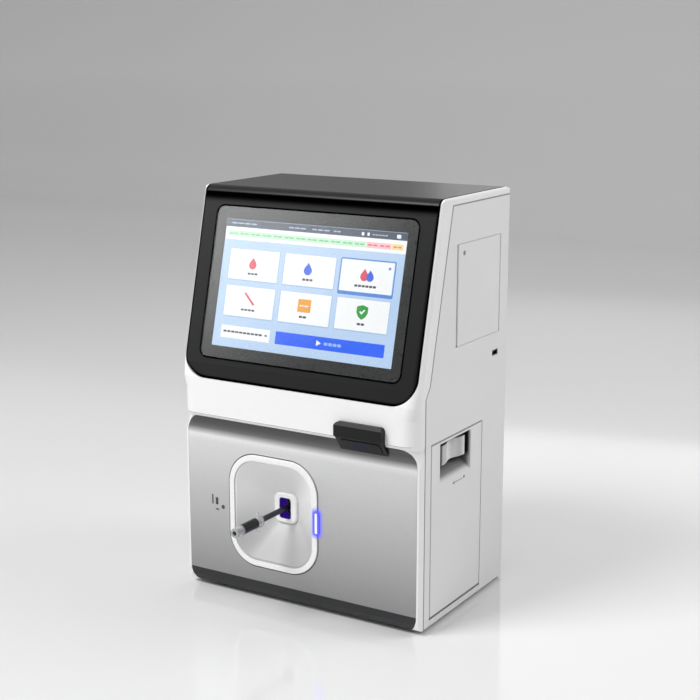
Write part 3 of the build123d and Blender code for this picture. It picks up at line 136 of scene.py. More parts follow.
def fed(tree, name):
    """The socket that feeds an input of a finish so far, or the input's own colour."""
    fed_input = tree.nodes["Principled BSDF"].inputs[name]
    return fed_input.links[0].from_socket if fed_input.is_linked else fed_input.default_value[:]


def surface(name, low, high, roughness, *, drift=90.0, grain=1.2, depth=0.004, spread=(1, 1, 1),
            gloss_swing=0.05, sockets=None):
    """A finish between two colours; drift, grain and depth are in millimetres."""
    material = bpy.data.materials.new(name)
    material.use_nodes = True
    tree = material.node_tree
    for socket, value in {"Base Color": colour(low), **(sockets or {})}.items():
        tree.nodes["Principled BSDF"].inputs[socket].default_value = value
    place = add_node(tree, "TexCoord").outputs["Object"]
    stretched = add_node(tree, "Mapping", {"Vector": place, "Scale": spread})
    clouds = add_node(tree, "TexNoise", {"Vector": place, "Scale": 1 / (drift * MM), "Detail": 3.0})
    relief = add_node(tree, "TexNoise", {"Vector": stretched, "Scale": 1 / (grain * MM), "Detail": 4.0})
    gloss = add_node(tree, "MapRange",
                     {"Value": relief, "From Min": 0.3, "From Max": 0.7,
                      "To Min": roughness - gloss_swing, "To Max": roughness + gloss_swing})
    bump = add_node(tree, "Bump", {"Height": relief, "Distance": depth * MM, "Strength": 1.0})
    shade(clouds.outputs["Fac"], high)
    feed(gloss.outputs["Result"], "Roughness")
    feed(bump.outputs["Normal"], "Normal")
    return material


def dress(parts, *look, **relief):
    """Puts a new finish on CAD parts, given as words in a row, and hands it back."""
    material = surface(*look, **relief)
    for name in parts.split():
        for slot in nodes[name].material_slots:
            slot.material = material
    dressed.update(parts.split())
    return material


def shade(share, code, name="Base Color"):
    """Mixes one more colour into the finish that share is part of, where share is 1."""
    mixed = add_node(share.id_data, "Mix",
                     {MIX_SHARE: share, MIX_FIRST: fed(share.id_data, name), MIX_SECOND: colour(code)},
                     data_type="RGBA")
    feed(mixed.outputs[MIX_RESULT], name)


dressed = set()
print("recipe ready")

# %% [markdown]
# Some finishes change at an edge or round an opening. Short functions give the shares for
# that: the object's own coordinates, a soft step between two values of one of them, the
# product of two shares, and the distance from a rounded rectangle, which is what most
# outlines here are. A socket knows the finish that it is part of, so the last three need no
# more than sockets.

# %% Shares that follow the shape
def own_axes(material):
    """X, Y and Z of the surface point, in metres."""
    place = add_node(material.node_tree, "TexCoord").outputs["Object"]
    return add_node(material.node_tree, "SeparateXYZ", {"Vector": place}).outputs


def soft_step(value, start, end, base=0.0):
    """0 before start, 1 after end, in millimetres from base; end may be the lower."""
    low, high = sorted((base + start, base + end))
    rising = add_node(value.id_data, "MapRange",
                      {"Value": value, "From Min": low * MM, "From Max": high * MM,
                       "To Min": float(start > end), "To Max": float(start < end)},
                      interpolation_type="SMOOTHSTEP")
    return rising.outputs["Result"]


def both(first, second):
    """Where two shares meet."""
    product = add_node(first.id_data, "Math", {0: first, 1: second}, operation="MULTIPLY")
    return product.outputs[0]


def off_outline(across, up, middle, half_size, corner):
    """Distance outwards from a rounded rectangle, below zero inside it; sizes in millimetres."""
    tree = across.id_data
    past = []
    for value, centre, half in zip((across, up), middle, half_size):
        moved = add_node(tree, "Math", {0: value, 1: centre * MM}, operation="SUBTRACT")
        away = add_node(tree, "Math", {0: moved}, operation="ABSOLUTE")
        over = add_node(tree, "Math", {0: away, 1: (half - corner) * MM}, operation="SUBTRACT")
        past.append(add_node(tree, "Math", {0: over, 1: 0.0}, operation="MAXIMUM"))
    pair = add_node(tree, "CombineXYZ", {"X": past[0], "Y": past[1]})
    length = add_node(tree, "VectorMath", {0: pair}, operation="LENGTH")
    distance = add_node(tree, "Math", {0: length.outputs["Value"], 1: corner * MM},
                        operation="SUBTRACT")
    return distance.outputs[0]


print("shares ready")

# %% [markdown]
# ## White mouldings
#
# The hoop, the side covers, the drawer and the printer door are injection-moulded ABS. The
# hoop and the lever are moulded in a polished tool and look wet at their rounded edges. The
# big covers come out of a spark-eroded tool, whose fine orange-peel hides scratches and
# scatters the reflection. Both are the same bright white with a cool cast.

# %% Moulded ABS, white
POLISHED = {"grain": 2.5, "depth": 0.002, "gloss_swing": 0.03,
            "sockets": {"IOR": 1.54, "Coat Weight": 0.15, "Coat Roughness": 0.12}}
ERODED = {"grain": 1.0, "depth": 0.008, "sockets": {"IOR": 1.54}}
satin_white = dress("front_frame", "moulded_abs_satin_white", "f8f8f8", "fcfcfc", 0.30, **POLISHED)
ring_white = dress("port_ring window_frame", "moulded_abs_ring_white", "fbfbfb", "fdfdfd", 0.26,
                   **POLISHED)
lever_white = dress("grip_lever", "moulded_abs_lever_white", "f8f8f8", "fcfcfc", 0.30, **POLISHED)
textured_white = dress("side_cover_right side_cover_left printer_door", "moulded_abs_textured_white",
                       "eaeaea", "f1f1f1", 0.46, **ERODED)
drawer_white = dress("drawer_front", "moulded_abs_drawer_white", "eaeaea", "f1f1f1", 0.46, **ERODED)
print(len(dressed), "parts dressed in white")

# %% [markdown]
# Three of these mouldings need more. A fine grey line of painted shade runs along the crease at the
# foot of the white band, where its slanted lower edge starts. The recess for the fingers is deep, and
# hardly any light gets to its end, so painted shade darkens it with the depth. The lever in it is waved
# along its length, to lie under the fingers, with painted shade in the hollows of the wave, and its top
# and ends are painted dark, as they stay in the shade of the recess.

# %% Painted shade of the crease and of the recess
BAND_FOOT, CREASE_SHADE_HALF, FRONT_ONLY = 197.0, 0.5, (4.0, 3.0)
band_front = measure("front_frame")[0].y
axes = own_axes(satin_white)
# painted shade: a grey line along the crease at the foot of the band, on its front only
crease_shade = both(soft_step(axes["Z"], -CREASE_SHADE_HALF, 0, BAND_FOOT),
                    soft_step(axes["Z"], CREASE_SHADE_HALF, 0, BAND_FOOT))
shade(both(crease_shade, soft_step(axes["Y"], *FRONT_ONLY, band_front)), "8f8f8f")

drawer_low, drawer_high, drawer_middle, drawer_half = measure("drawer_front")
drawer_side = drawer_high.x
GRIP_MIDDLE = (drawer_low.y + 52.0, 169.0)                     # y and z of the recess
GRIP_HALF, GRIP_CORNER, GRIP_MARGIN = (33.0, 20.5), 3.0, (1.6, 1.0)
RECESS_SHADES = ((-0.8, -6.0, "848484"), (-3.0, -15.0, "080808"))   # from the face of the drawer
DARK_HEIGHTS, DARK_DEPTHS = (158.0, 167.0), (-0.3, -4.0)       # where the lever's shade sets in
axes = own_axes(drawer_white)
off_grip = off_outline(axes["Y"], axes["Z"], GRIP_MIDDLE, GRIP_HALF, GRIP_CORNER)
in_grip = soft_step(off_grip, *GRIP_MARGIN)
# painted shade in the recess, darker with the depth, and darkest on the walls beside the lever
for start, end, tone in RECESS_SHADES:
    shade(both(in_grip, soft_step(axes["X"], start, end, drawer_side)), tone)
shade_beside_lever = both(soft_step(axes["Z"], *DARK_HEIGHTS),
                    soft_step(axes["X"], *DARK_DEPTHS, drawer_side))
shade(both(in_grip, shade_beside_lever), "0c0c0c")
print("recess shaded", GRIP_HALF, "mm about", rounded(GRIP_MIDDLE))

# %% Lever in the recess
WAVE_LENGTH, WAVE_HEIGHT, HOLLOW_SHADE = 30.0, 6.0, 0.22
TOP_SHADE = (184.0, 185.5)                          # heights between which its top gets dark
FRONT_SHADE, BACK_SHADE = (9.0, 5.0), (-2.5, -0.5)  # from its ends
lever_low, lever_high = measure("grip_lever")[:2]
tree = lever_white.node_tree
axes = own_axes(lever_white)
turns = 2 * pi / WAVE_LENGTH
along = add_node(tree, "Math", {0: axes["Y"], 1: turns / MM, 2: -turns * lever_high.y},
                 operation="MULTIPLY_ADD")
wave = add_node(tree, "Math", {0: along}, operation="COSINE")
waved = add_node(tree, "Bump",
                 {"Height": wave, "Distance": WAVE_HEIGHT / 2 * MM, "Strength": 1.0,
                  "Normal": fed(tree, "Normal")})
feed(waved.outputs["Normal"], "Normal")
# painted shade in the hollows of the wave, and on the lever's top and ends
hollow_shade = add_node(tree, "Math", {0: wave, 1: -HOLLOW_SHADE, 2: HOLLOW_SHADE}, operation="MULTIPLY_ADD")
shade(hollow_shade.outputs[0], "6c6c6c")
shade(soft_step(axes["Z"], *TOP_SHADE), "0c0c0c")
shade(soft_step(axes["Y"], *FRONT_SHADE, lever_low.y), "181818")
shade(soft_step(axes["Y"], *BACK_SHADE, lever_high.y), "181818")
print("lever waved every", WAVE_LENGTH, "mm")

# %% [markdown]
# The covers meet in gaps of a few tenths of a millimetre. Their edges are rounded, so each joint reads
# wider and softer than its gap, as a grey line of shade. That shade is painted into the finish of the
# cover: along the front frame, where it follows the lean of the display, under the white strip at the
# top, and round the drawer, whose lower edge gets the darkest painted shade.

# %% Painted shade along the seams of the covers
SLOPE = radians(14.07)               # lean of the display face
FACE_FRONT, FACE_FOOT = -8.0, 236.0  # where it starts: before the lower panel, and up
SEAM_LOW, SEAM_BEHIND = 9.5, 21.6    # behind the lower panel, and behind the display face
SEAM_WIDTH, SEAM_CORE = 2.2, 0.6
TOP_LINE, DRAWER_EDGE, DRAWER_FOOT = (-1.6, -0.6), (-1.5, -0.4), (2.4, 1.0)
DRAWER_CORNER, PANEL_BEFORE_DRAWER = 2.0, 22.7
BEND_FOOT, BEND_TOP = 242.0, 254.0   # heights between which the seam steps back
lower_panel_y = drawer_low.y - PANEL_BEFORE_DRAWER
low_seam = lower_panel_y + SEAM_LOW
face_seam = lower_panel_y + FACE_FRONT + SEAM_BEHIND - FACE_FOOT * tan(SLOPE)
steepness = (face_seam + BEND_TOP * tan(SLOPE) - low_seam) / (BEND_TOP - BEND_FOOT)
tree = textured_white.node_tree
axes = own_axes(textured_white)
leaning = add_node(tree, "Math", {0: axes["Z"], 1: tan(SLOPE), 2: face_seam * MM},
                   operation="MULTIPLY_ADD")
stepping = add_node(tree, "Math",
                    {0: axes["Z"], 1: steepness, 2: (low_seam - BEND_FOOT * steepness) * MM},
                    operation="MULTIPLY_ADD")
upper_seam = add_node(tree, "Math", {0: leaning, 1: stepping}, operation="MINIMUM")
front_seam = add_node(tree, "Math", {0: upper_seam, 1: low_seam * MM}, operation="MAXIMUM")
behind_seam = add_node(tree, "Math", {0: axes["Y"], 1: front_seam}, operation="SUBTRACT")
# painted shade along the seam behind the front frame, and under the white strip at the top
shade(soft_step(behind_seam.outputs[0], SEAM_WIDTH, SEAM_CORE), "7c7c7c")
cover_top = measure("side_cover_right")[1].z
shade(soft_step(axes["Z"], *TOP_LINE, cover_top), "9c9c9c")
axes = own_axes(drawer_white)
off_drawer = off_outline(axes["Y"], axes["Z"], drawer_middle.yz, drawer_half.yz, DRAWER_CORNER)
# painted shade round the drawer, darkest along its lower edge
shade(soft_step(off_drawer, *DRAWER_EDGE), "a2a2a2")
shade(soft_step(axes["Z"], *DRAWER_FOOT, drawer_low.z), "3a3a3a")
print("front seam", SEAM_LOW, "mm behind the lower panel,", SEAM_BEHIND, "mm behind the display face")

# %% [markdown]
# ## The silver front
#
# The lower front is a plastic moulding sprayed with aluminium paint. Metal flakes in clear lacquer make
# it metallic and soft at once. Light and shade are painted into its colour: a painted brightness that
# falls from the curve under the white band down to the skirt, a painted highlight just under that
# curve, and painted shade on the curve itself, which draws the shadow line under the band. All of them
# follow from the height above the table, so one ramp over the object's own Z gives them, whatever the
# view.

# %% Aluminium paint with painted light and shade over its height
SILVER_PAINTED_LIGHT = (
    (16, "949494"), (60, "adadad"), (120, "c9c9c9"), (165, "dedede"), (172, "eeeeee"),
    (176, "b4b4b4"), (180, "6c6c6c"), (186, "545454"), (194, "4a4a4a"),
)
FLAKE, GLINT = 1.1, 0.06
silver_paint = dress("front_panel", "aluminium_paint_silver", "ffffff", "ffffff", 0.36, grain=0.8,
                     depth=0.003, gloss_swing=0.06,
                     sockets={"Metallic": 0.6, "Coat Weight": 0.2, "Coat Roughness": 0.2})
tree = silver_paint.node_tree
axes = own_axes(silver_paint)
low_tone, high_tone = SILVER_PAINTED_LIGHT[0][0], SILVER_PAINTED_LIGHT[-1][0]
height_share = add_node(tree, "MapRange",
                        {"Value": axes["Z"], "From Min": low_tone * MM, "From Max": high_tone * MM})
# painted light and shade over the height: brightness falling towards the skirt, a highlight at 172 mm,
# dark shade on the curve above
tones = add_node(tree, "ValToRGB", {"Fac": height_share})
steps = tones.color_ramp.elements
while len(steps) < len(SILVER_PAINTED_LIGHT):
    steps.new(0.5)
for step, (level, _) in zip(steps, SILVER_PAINTED_LIGHT):
    step.position = (level - low_tone) / (high_tone - low_tone)
for step, (_, tone) in zip(steps, SILVER_PAINTED_LIGHT):
    step.color = colour(tone)
place = add_node(tree, "TexCoord").outputs["Object"]
flakes = add_node(tree, "TexVoronoi", {"Vector": place, "Scale": 1 / (FLAKE * MM)})
glint = add_node(tree, "Mix",
                 {MIX_SHARE: GLINT, MIX_FIRST: tones, MIX_SECOND: flakes.outputs["Color"]},
                 data_type="RGBA", blend_type="MULTIPLY")
feed(glint.outputs[MIX_RESULT], "Base Color")
print("silver from", SILVER_PAINTED_LIGHT[0], "to", SILVER_PAINTED_LIGHT[-1])

# %% [markdown]
# The ring of the port stands in a narrow step of the panel, and a dark line of painted shade goes round
# it. Beside the ring the blue of the status light is painted over the paint and over the white ring, as
# a glow and a tint, and this painted spill fades with the distance from the lens.

# %% Painted shade round the ring, and the light's painted spill
RING_CORNER, RING_GROOVE_SHADE = 34.0, (1.5, 0.8)
SPILL, SPILL_STRENGTH = (6.0, -1.0), 0.9
NEARLY_ROUND = 0.05                  # what a corner leaves of the half width
ring_middle, ring_half = measure("port_ring")[2:]
light_low, _, light_middle, light_half = measure("status_light")
off_ring = off_outline(axes["X"], axes["Z"], ring_middle.xz, ring_half.xz, RING_CORNER)
# painted shade in the step round the ring
shade(soft_step(off_ring, *RING_GROOVE_SHADE), "2a2a2a")
# the light's painted spill: a blue glow and a blue tint on the paint and the ring
for material in (silver_paint, ring_white):
    axes = own_axes(material)
    off_light = off_outline(axes["X"], axes["Z"], light_middle.xz, light_half.xz,
                            light_half.x - NEARLY_ROUND)
    near = soft_step(off_light, *SPILL)
    shader = material.node_tree.nodes["Principled BSDF"]
    shader.inputs["Emission Color"].default_value = colour("000000")
    shader.inputs["Emission Strength"].default_value = SPILL_STRENGTH
    shade(both(near, near), "4a44f0", "Emission Color")
    shade(near, "7c7cf0")
print("port centre:", rounded(ring_middle.xz), "spill:", SPILL[0], "mm")

# %% [markdown]
# ## Dark mouldings
#
# The hood is black ABS with a satin face that mirrors the room at a glancing angle, which is why its
# top looks pale from the front. Its edge rolls into the joint with the white hoop, and into the groove
# round the glass, where no light gets: there the last millimetres are given painted shade, black and
# without shine, and so is a soft band under the front fold. The skirt and the scanner are the same
# plastic with a duller texture.

# %% Moulded ABS, black
hood_black = dress("hood", "moulded_abs_satin_black", "0d0e0f", "121314", 0.33, grain=2.2, depth=0.002,
                   gloss_swing=0.03, sockets={"IOR": 1.35})
dress("scanner_housing", "moulded_abs_black", "08090a", "0c0d0e", 0.38, grain=1.6, gloss_swing=0.04,
      sockets={"IOR": 1.36})
dress("base_skirt", "moulded_abs_dull_black", "1d1e20", "242528", 0.48, grain=1.0, depth=0.006,
      sockets={"IOR": 1.5})

HOOD_HALF, HOOD_CORNER, HOOD_LENGTH = 140.0, 28.0, 400.0
FOLD_FOOT, FOLD_TOP, FOLD_FRONT = (-18.5, -9.5), (-4.5, -7.0), (2.0, 0.0)   # dark band, from the top
RIM_SHADE, GROOVE_SHADE = (-3.2, -0.9), (2.6, 1.2)
GLASS_WIDTH, GLASS_HEIGHT, GLASS_CORNER, GLASS_CENTRE = 239.6, 158.1, 8.3, 102.6
tree = hood_black.node_tree
axes = own_axes(hood_black)
climb = add_node(tree, "Math", {0: axes["Z"], 1: cos(SLOPE)}, operation="DIVIDE")
face_start = FACE_FOOT / cos(SLOPE)
off_rim = off_outline(axes["X"], climb.outputs[0], (0, face_start + HOOD_LENGTH),
                      (HOOD_HALF, HOOD_LENGTH), HOOD_CORNER)
off_glass = off_outline(axes["X"], climb.outputs[0], (0, face_start + GLASS_CENTRE),
                        (GLASS_WIDTH / 2, GLASS_HEIGHT / 2), GLASS_CORNER)
hood_top = measure("hood")[1].z
unlit = soft_step(axes["Y"], *FOLD_FRONT)
for fold in (FOLD_FOOT, FOLD_TOP):
    unlit = both(unlit, soft_step(axes["Z"], *fold, hood_top))
for edge in (soft_step(off_rim, *RIM_SHADE), soft_step(off_glass, *GROOVE_SHADE)):
    unlit = add_node(tree, "Math", {0: unlit, 1: edge}, operation="MAXIMUM").outputs[0]
# painted shade: black without shine at the edges, in the groove and under the fold; a metallic black
# takes the reflection away
shade(unlit, "020202")
feed(unlit, "Metallic")
dulled = add_node(tree, "Math", {0: fed(tree, "Roughness"), 1: unlit}, operation="MAXIMUM")
feed(dulled.outputs[0], "Roughness")
print("hood, scanner and skirt dressed,", round(hood_top, 1), "mm to the top of the hood")

# %% [markdown]
# ## Port, light and probe
#
# The funnel is a pale grey moulding, matt so that spilled blood shows and wipes off, with painted shade
# that darkens it towards its foot, where the ring keeps the light off it. Behind its little window the
# wash block is black acetal, with a violet glow painted on it. The status light is a milky lens over
# blue diodes: nearly white along its middle and deep blue at its rim, which the distance from its
# centre line gives. Its foot, behind the panel, sits in a black sleeve and stays dark.

# %% Finishes of the sample port
SHADE_START, SHADE_FULL = -25, 10    # of the funnel: from its top, and from its foot
funnel_grey = dress("port_funnel", "moulded_abs_pale_grey", "f2f2f2", "f6f6f6", 0.38, grain=1.4,
                    sockets={"IOR": 1.54})
funnel_low, funnel_high = measure("port_funnel")[:2]
# painted shade, darker towards the foot of the funnel
funnel_shade = soft_step(own_axes(funnel_grey)["Z"], funnel_high.z + SHADE_START,
                         funnel_low.z + SHADE_FULL)
shade(funnel_shade, "bababa")
# a painted violet glow on the wash block
dress("wash_station", "acetal_black_lit_violet", "08040f", "0c0616", 0.35, grain=1.0,
      sockets={"Emission Color": colour("2a0a78"), "Emission Strength": 0.8})

LENS_CORE, CORE_MARGIN = 1.3, 2.0    # the pale core: half its width, and how far off the lens's ends
CORE_EDGE, SLEEVE = (-0.5, 0.4), (2.0, 3.0)
lens = dress("status_light", "polycarbonate_lit_lens", "5a5cc8", "6668d6", 0.25, grain=2.0, depth=0.002,
             sockets={"Emission Color": colour("ccd4ff"), "Emission Strength": 1.5})
axes = own_axes(lens)
off_core = off_outline(axes["X"], axes["Z"], light_middle.xz, (LENS_CORE, light_half.z - CORE_MARGIN),
                       LENS_CORE - NEARLY_ROUND)
shade(soft_step(off_core, *CORE_EDGE), "3a34e0", "Emission Color")
shade(soft_step(axes["Y"], *SLEEVE, light_low.y), "000000", "Emission Color")
print("light centre in mm:", rounded(light_middle.xz))

# %% [markdown]
# The probe is a coated steel tube with a black collar, pushed into a clear adapter that a syringe or a
# capillary fits. The adapter's wall over the collar is painted dark, for the collar seen through it,
# while its front and its wings, with nothing behind them, stay pale, and painted shade darkens the
# inside of its mouth.

# %% Finishes of the probe
MOUTH_END, WING_START = (9.5, 12.5), (37.0, 35.0)    # from the tip of the probe
MOUTH_RADIUS, MOUTH_EDGE = 2.4, (0.1, -0.2)
dress("probe_rod", "steel_tube_dark_coating", "34363a", "404247", 0.34, grain=0.9, depth=0.003,
      spread=(1, 0.05, 1), sockets={"Metallic": 0.7})
dress("probe_collar", "moulded_acetal_black", "0f1012", "151619", 0.4, grain=0.9)
clear_resin = dress("probe_adapter", "polycarbonate_clear", "eeeff0", "f8f8f9", 0.12, grain=3.0,
                    depth=0.001, gloss_swing=0.04, sockets={"Transmission Weight": 0.6, "IOR": 1.35})
adapter_low, _, adapter_middle, _ = measure("probe_adapter")
tip = adapter_low.y
axes = own_axes(clear_resin)
# the wall over the collar is painted dark, for the collar seen through it
over_collar = both(soft_step(axes["Y"], *MOUTH_END, tip), soft_step(axes["Y"], *WING_START, tip))
shade(over_collar, "26282b")
off_mouth = off_outline(axes["X"], axes["Z"], adapter_middle.xz, (MOUTH_RADIUS, MOUTH_RADIUS),
                        MOUTH_RADIUS)
# painted shade inside the mouth of the adapter
shade(soft_step(off_mouth, *MOUTH_EDGE), "3c3d40")
print("probe reaches to y =", round(tip, 1), "mm")

# %% [markdown]
# ## Glass over the display
#
# The cover glass is clear, with a black border printed on its back. Seen from the front the
# two read as one dark sheet with a bright picture in it. The glass itself stays the CAD
# solid; the print is a thin ring in the gap behind it.

# %% Cover glass and panel
dress("display_glass", "float_glass_clear", "f8fafa", "fdfefe", 0.02, grain=30.0, depth=0.0,
      gloss_swing=0.01, sockets={"Transmission Weight": 1.0, "IOR": 1.45})
dress("display_panel", "display_polariser_black", "08090b", "0c0d10", 0.22, grain=3.0, depth=0.001)
dress("scanner_window", "scanner_window_smoked", "050506", "08080a", 0.2, grain=3.0, depth=0.001,
      gloss_swing=0.03, sockets={"IOR": 1.3})
print("glass in mm:", rounded(measure("display_glass")[3] * 2))

# %% [markdown]
# ## Metal, rubber and the rest inside
#
# What the covers hide still shows when the drawer or the printer door is open, and from the
# back. Bent sheet is zinc-plated, with the cloudy grain of rolling. Rods are ground, turned
# parts carry fine rings along their axis, and housings of motors are painted.

# %% Metals
METAL, RINGS = {"Metallic": 1.0}, (0.1, 1, 0.1)
dress("base_plate chassis_walls upper_shelf display_bracket sampler_frame"
      " printer_bracket drawer_rails power_supply", "steel_sheet_zinc_plated", "9a9da0", "b4b7ba", 0.38,
      drift=22, grain=1.0, spread=(1, 0.15, 1), sockets=METAL)
dress("guide_rods lead_screw lever_pin door_pins", "steel_rod_ground", "b8babd", "c8cacc", 0.2,
      grain=0.8, depth=0.001, spread=RINGS, sockets=METAL)
dress("probe_carriage valve_block", "aluminium_anodised", "b9bbbe", "c7c9cb", 0.36, grain=0.9,
      depth=0.003, sockets={"Metallic": 0.95})
dress("lead_nut", "brass_turned", "b08d48", "c7a258", 0.28, grain=0.8, depth=0.003, spread=RINGS,
      sockets=METAL)
dress("probe_motor pump_motor", "motor_can_black_paint", "17181a", "202124", 0.35, grain=1.6,
      depth=0.008)
dress("rear_screws fan_guard", "screw_steel_nickel", "a9abad", "c0c2c4", 0.26, grain=0.7, depth=0.002,
      sockets=METAL)
dress("rear_panel", "steel_powder_coat_white", "dfe0e1", "e8e9ea", 0.5, grain=1.8, depth=0.02)
print(len(dressed), "of", len(nodes), "parts dressed")

# %% Plastics, rubber and paper
dress("power_inlet rocker_switch fan_frame fan_rotor rear_sockets side_usb_socket printer_mech",
      "moulded_nylon_black", "151618", "1d1e21", 0.45, grain=1.0, depth=0.006)
dress("pump_body pump_rotor door_button drawer_tray", "moulded_nylon_grey", "85888c", "94979b", 0.42,
      grain=1.0, depth=0.006)
dress("feet platen_roller", "moulded_rubber_grey", "26272a", "303235", 0.7, grain=1.4, depth=0.02)
dress("pump_tube", "silicone_tube", "d8d9d4", "e4e5e0", 0.35, depth=0.002, sockets={"IOR": 1.43})
dress("mainboard", "board_solder_mask_green", "0d4a2a", "156038", 0.32, drift=14, grain=1.5, depth=0.01)
dress("reagent_pack", "blown_polyethylene_white", "dfe1e3", "eaecee", 0.48, grain=5.0, depth=0.03)
dress("pack_lid", "moulded_polypropylene_blue", "3d66ad", "4a74bb", 0.4, depth=0.006)
thermal_paper = dress("paper_roll", "thermal_paper", "f0f0ec", "f8f8f4", 0.55, grain=0.9, depth=0.006,
                      spread=(1, 1, 0.2))
dress("sensor_module", "acrylic_machined", "c4cdd6", "d2dae2", 0.22, grain=1.5, depth=0.002)
print("still bare:", sorted(set(nodes) - dressed))

# %% [markdown]
# ## The picture on the display
#
# A liquid crystal display is a lamp behind a filter, so its picture is modelled as glowing
# plates: a pale blue field, six white tiles with their signs, a bar of result cells and a
# blue key. Each layer of plates stands a hair above the one below, so none shares a plane
# with its neighbour. Words are plain bars. Every shape is drawn flat, in millimetres from
# the top left corner of the picture, and one extrusion makes the layer solid.

# %% Where the picture is
def on_face(point, turn=0, lean=0.0):
    """Place for flat shapes in millimetres: the front, turned about the vertical or leaning."""
    upright = Matrix.Rotation(radians(turn), 4, "Z") @ Matrix.Rotation(radians(90) - lean, 4, "X")
    return Matrix.Translation(Vector(point) * MM) @ upright @ Matrix.Scale(MM, 4)


PICTURE_WIDTH, PICTURE_HEIGHT = 217.0, 133.0
PICTURE_TOP = 168.9                  # up the slope from the lower edge of the hood
SCREEN_BACK = -3.2                   # front of the panel, behind the face of the glass
face = on_face((0, lower_panel_y + FACE_FRONT, FACE_FOOT), lean=SLOPE)
picture = face @ Matrix.Translation((-PICTURE_WIDTH / 2, PICTURE_TOP, SCREEN_BACK))
print("picture corner in mm:", rounded(picture.translation / MM))


# %% Flat shapes
def flat(bm, points, corner=0.0):
    """Face through a few points, with its corners rounded; y runs down."""
    shape = bm.faces.new([bm.verts.new((x, -y, 0)) for x, y in points])
    if corner:
        bmesh.ops.bevel(bm, geom=shape.verts[:], offset=corner, segments=5, profile=0.5,
                        affect="VERTICES", material=-1, clamp_overlap=True)


def tile(bm, left, top, right, bottom, corner=0.8):
    """Rounded rectangle."""
    flat(bm, [(left, top), (right, top), (right, bottom), (left, bottom)], corner)


def words(bm, left, right, y, tall=1.6, count=3):
    """A line of words, as bars with gaps between them."""
    pitch = (right - left) / count
    for index in range(count):
        start = left + pitch * index
        tile(bm, start, y - tall / 2, start + pitch * 0.82, y + tall / 2, tall * 0.3)


def drop(bm, x, y, radius):
    """A drop: a disc whose upper half is drawn up to a point."""
    made = bmesh.ops.create_circle(bm, cap_ends=True, segments=28, radius=radius,
                                   matrix=Matrix.Translation((x, -y, 0)))
    for vertex in made["verts"]:
        up = (vertex.co.y + y) / radius
        if up > 0:
            vertex.co.x = x + (vertex.co.x - x) * (1 - up ** 1.6)
            vertex.co.y = -y + up * radius * 1.75


print("shapes ready")


# %% From flat shapes to pieces
PLATE, STEP_UP = 0.08, 1.2           # thickness of a plate of the picture; step, in thicknesses
SIGN, LIFT, LAMP_PATCH = 0.05, 0.02, 70.0   # thickness of a sign; gap under any; a brighter patch


def vertices_of(made):
    """The vertices among what an operator made."""
    return [item for item in made["geom"] if isinstance(item, bmesh.types.BMVert)]


def add_object(bm, name, material):
    """Turns a finished bmesh into an object."""
    mesh = bpy.data.meshes.new(name)
    bm.to_mesh(mesh)
    bm.free()
    mesh.materials.append(material)
    added = bpy.data.objects.new(name, mesh)
    bpy.context.scene.collection.objects.link(added)
    return added


def keep(bm, name, matrix, material, body="housing", slot=None):
    """Turns a finished bmesh into a piece that rides on a body."""
    bmesh.ops.recalc_face_normals(bm, faces=bm.faces[:])
    bm.transform(matrix)
    piece = add_object(bm, name, material)
    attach(piece, body)


def thicken(bm, amount):
    """Pushes flat faces up into closed plates."""
    grown = bmesh.ops.extrude_face_region(bm, geom=bm.faces[:])
    bmesh.ops.translate(bm, verts=vertices_of(grown), vec=(0, 0, amount))


def plates(name, shapes, place, *looks, thickness=SIGN):
    """Thin closed plates of flat shapes, a hair off a face."""
    bm = bmesh.new()
    for shape, *values in shapes:
        shape(bm, *values)
    thicken(bm, thickness)
    keep(bm, name, place @ Matrix.Translation((0, 0, LIFT)), *looks)


def lit(name, low, high):
    """Finish of a lit patch of the picture, with the unevenness of the lamp behind it."""
    material = surface(name, "050506", "08080a", 0.3,
                       sockets={"Emission Color": colour(low), "Emission Strength": 1.0})
    place = add_node(material.node_tree, "TexCoord").outputs["Object"]
    lamp = add_node(material.node_tree, "TexNoise", {"Vector": place, "Scale": 1 / (LAMP_PATCH * MM)})
    shade(lamp.outputs["Fac"], high, "Emission Color")
    return material


def layer(name, level, low, high, shapes):
    """One colour of the picture; level says how many plates lie under it."""
    place = picture @ Matrix.Translation((0, 0, level * PLATE * STEP_UP))
    plates(name, shapes, place, lit(name + "_light", low, high), "housing", "display", thickness=PLATE)


print("layers ready")

# %% [markdown]
# The tiles stand in three columns and two rows. The chosen one, at the top right, has a blue
# frame with a heavier lower edge. Under them are a white entry field and the blue start key.

# %% Field, header and tiles
COLUMNS = ((10.0, 71.2), (78.3, 139.2), (146.0, 206.4))
ROWS = ((30.4, 62.0), (68.8, 100.2))
KEY_TOP, KEY_BOTTOM = 110.6, 123.6
STRIP_TOP, STRIP_BOTTOM = 7.8, 21.0
tiles = [(left, top, right, bottom) for left, right in COLUMNS for top, bottom in ROWS]

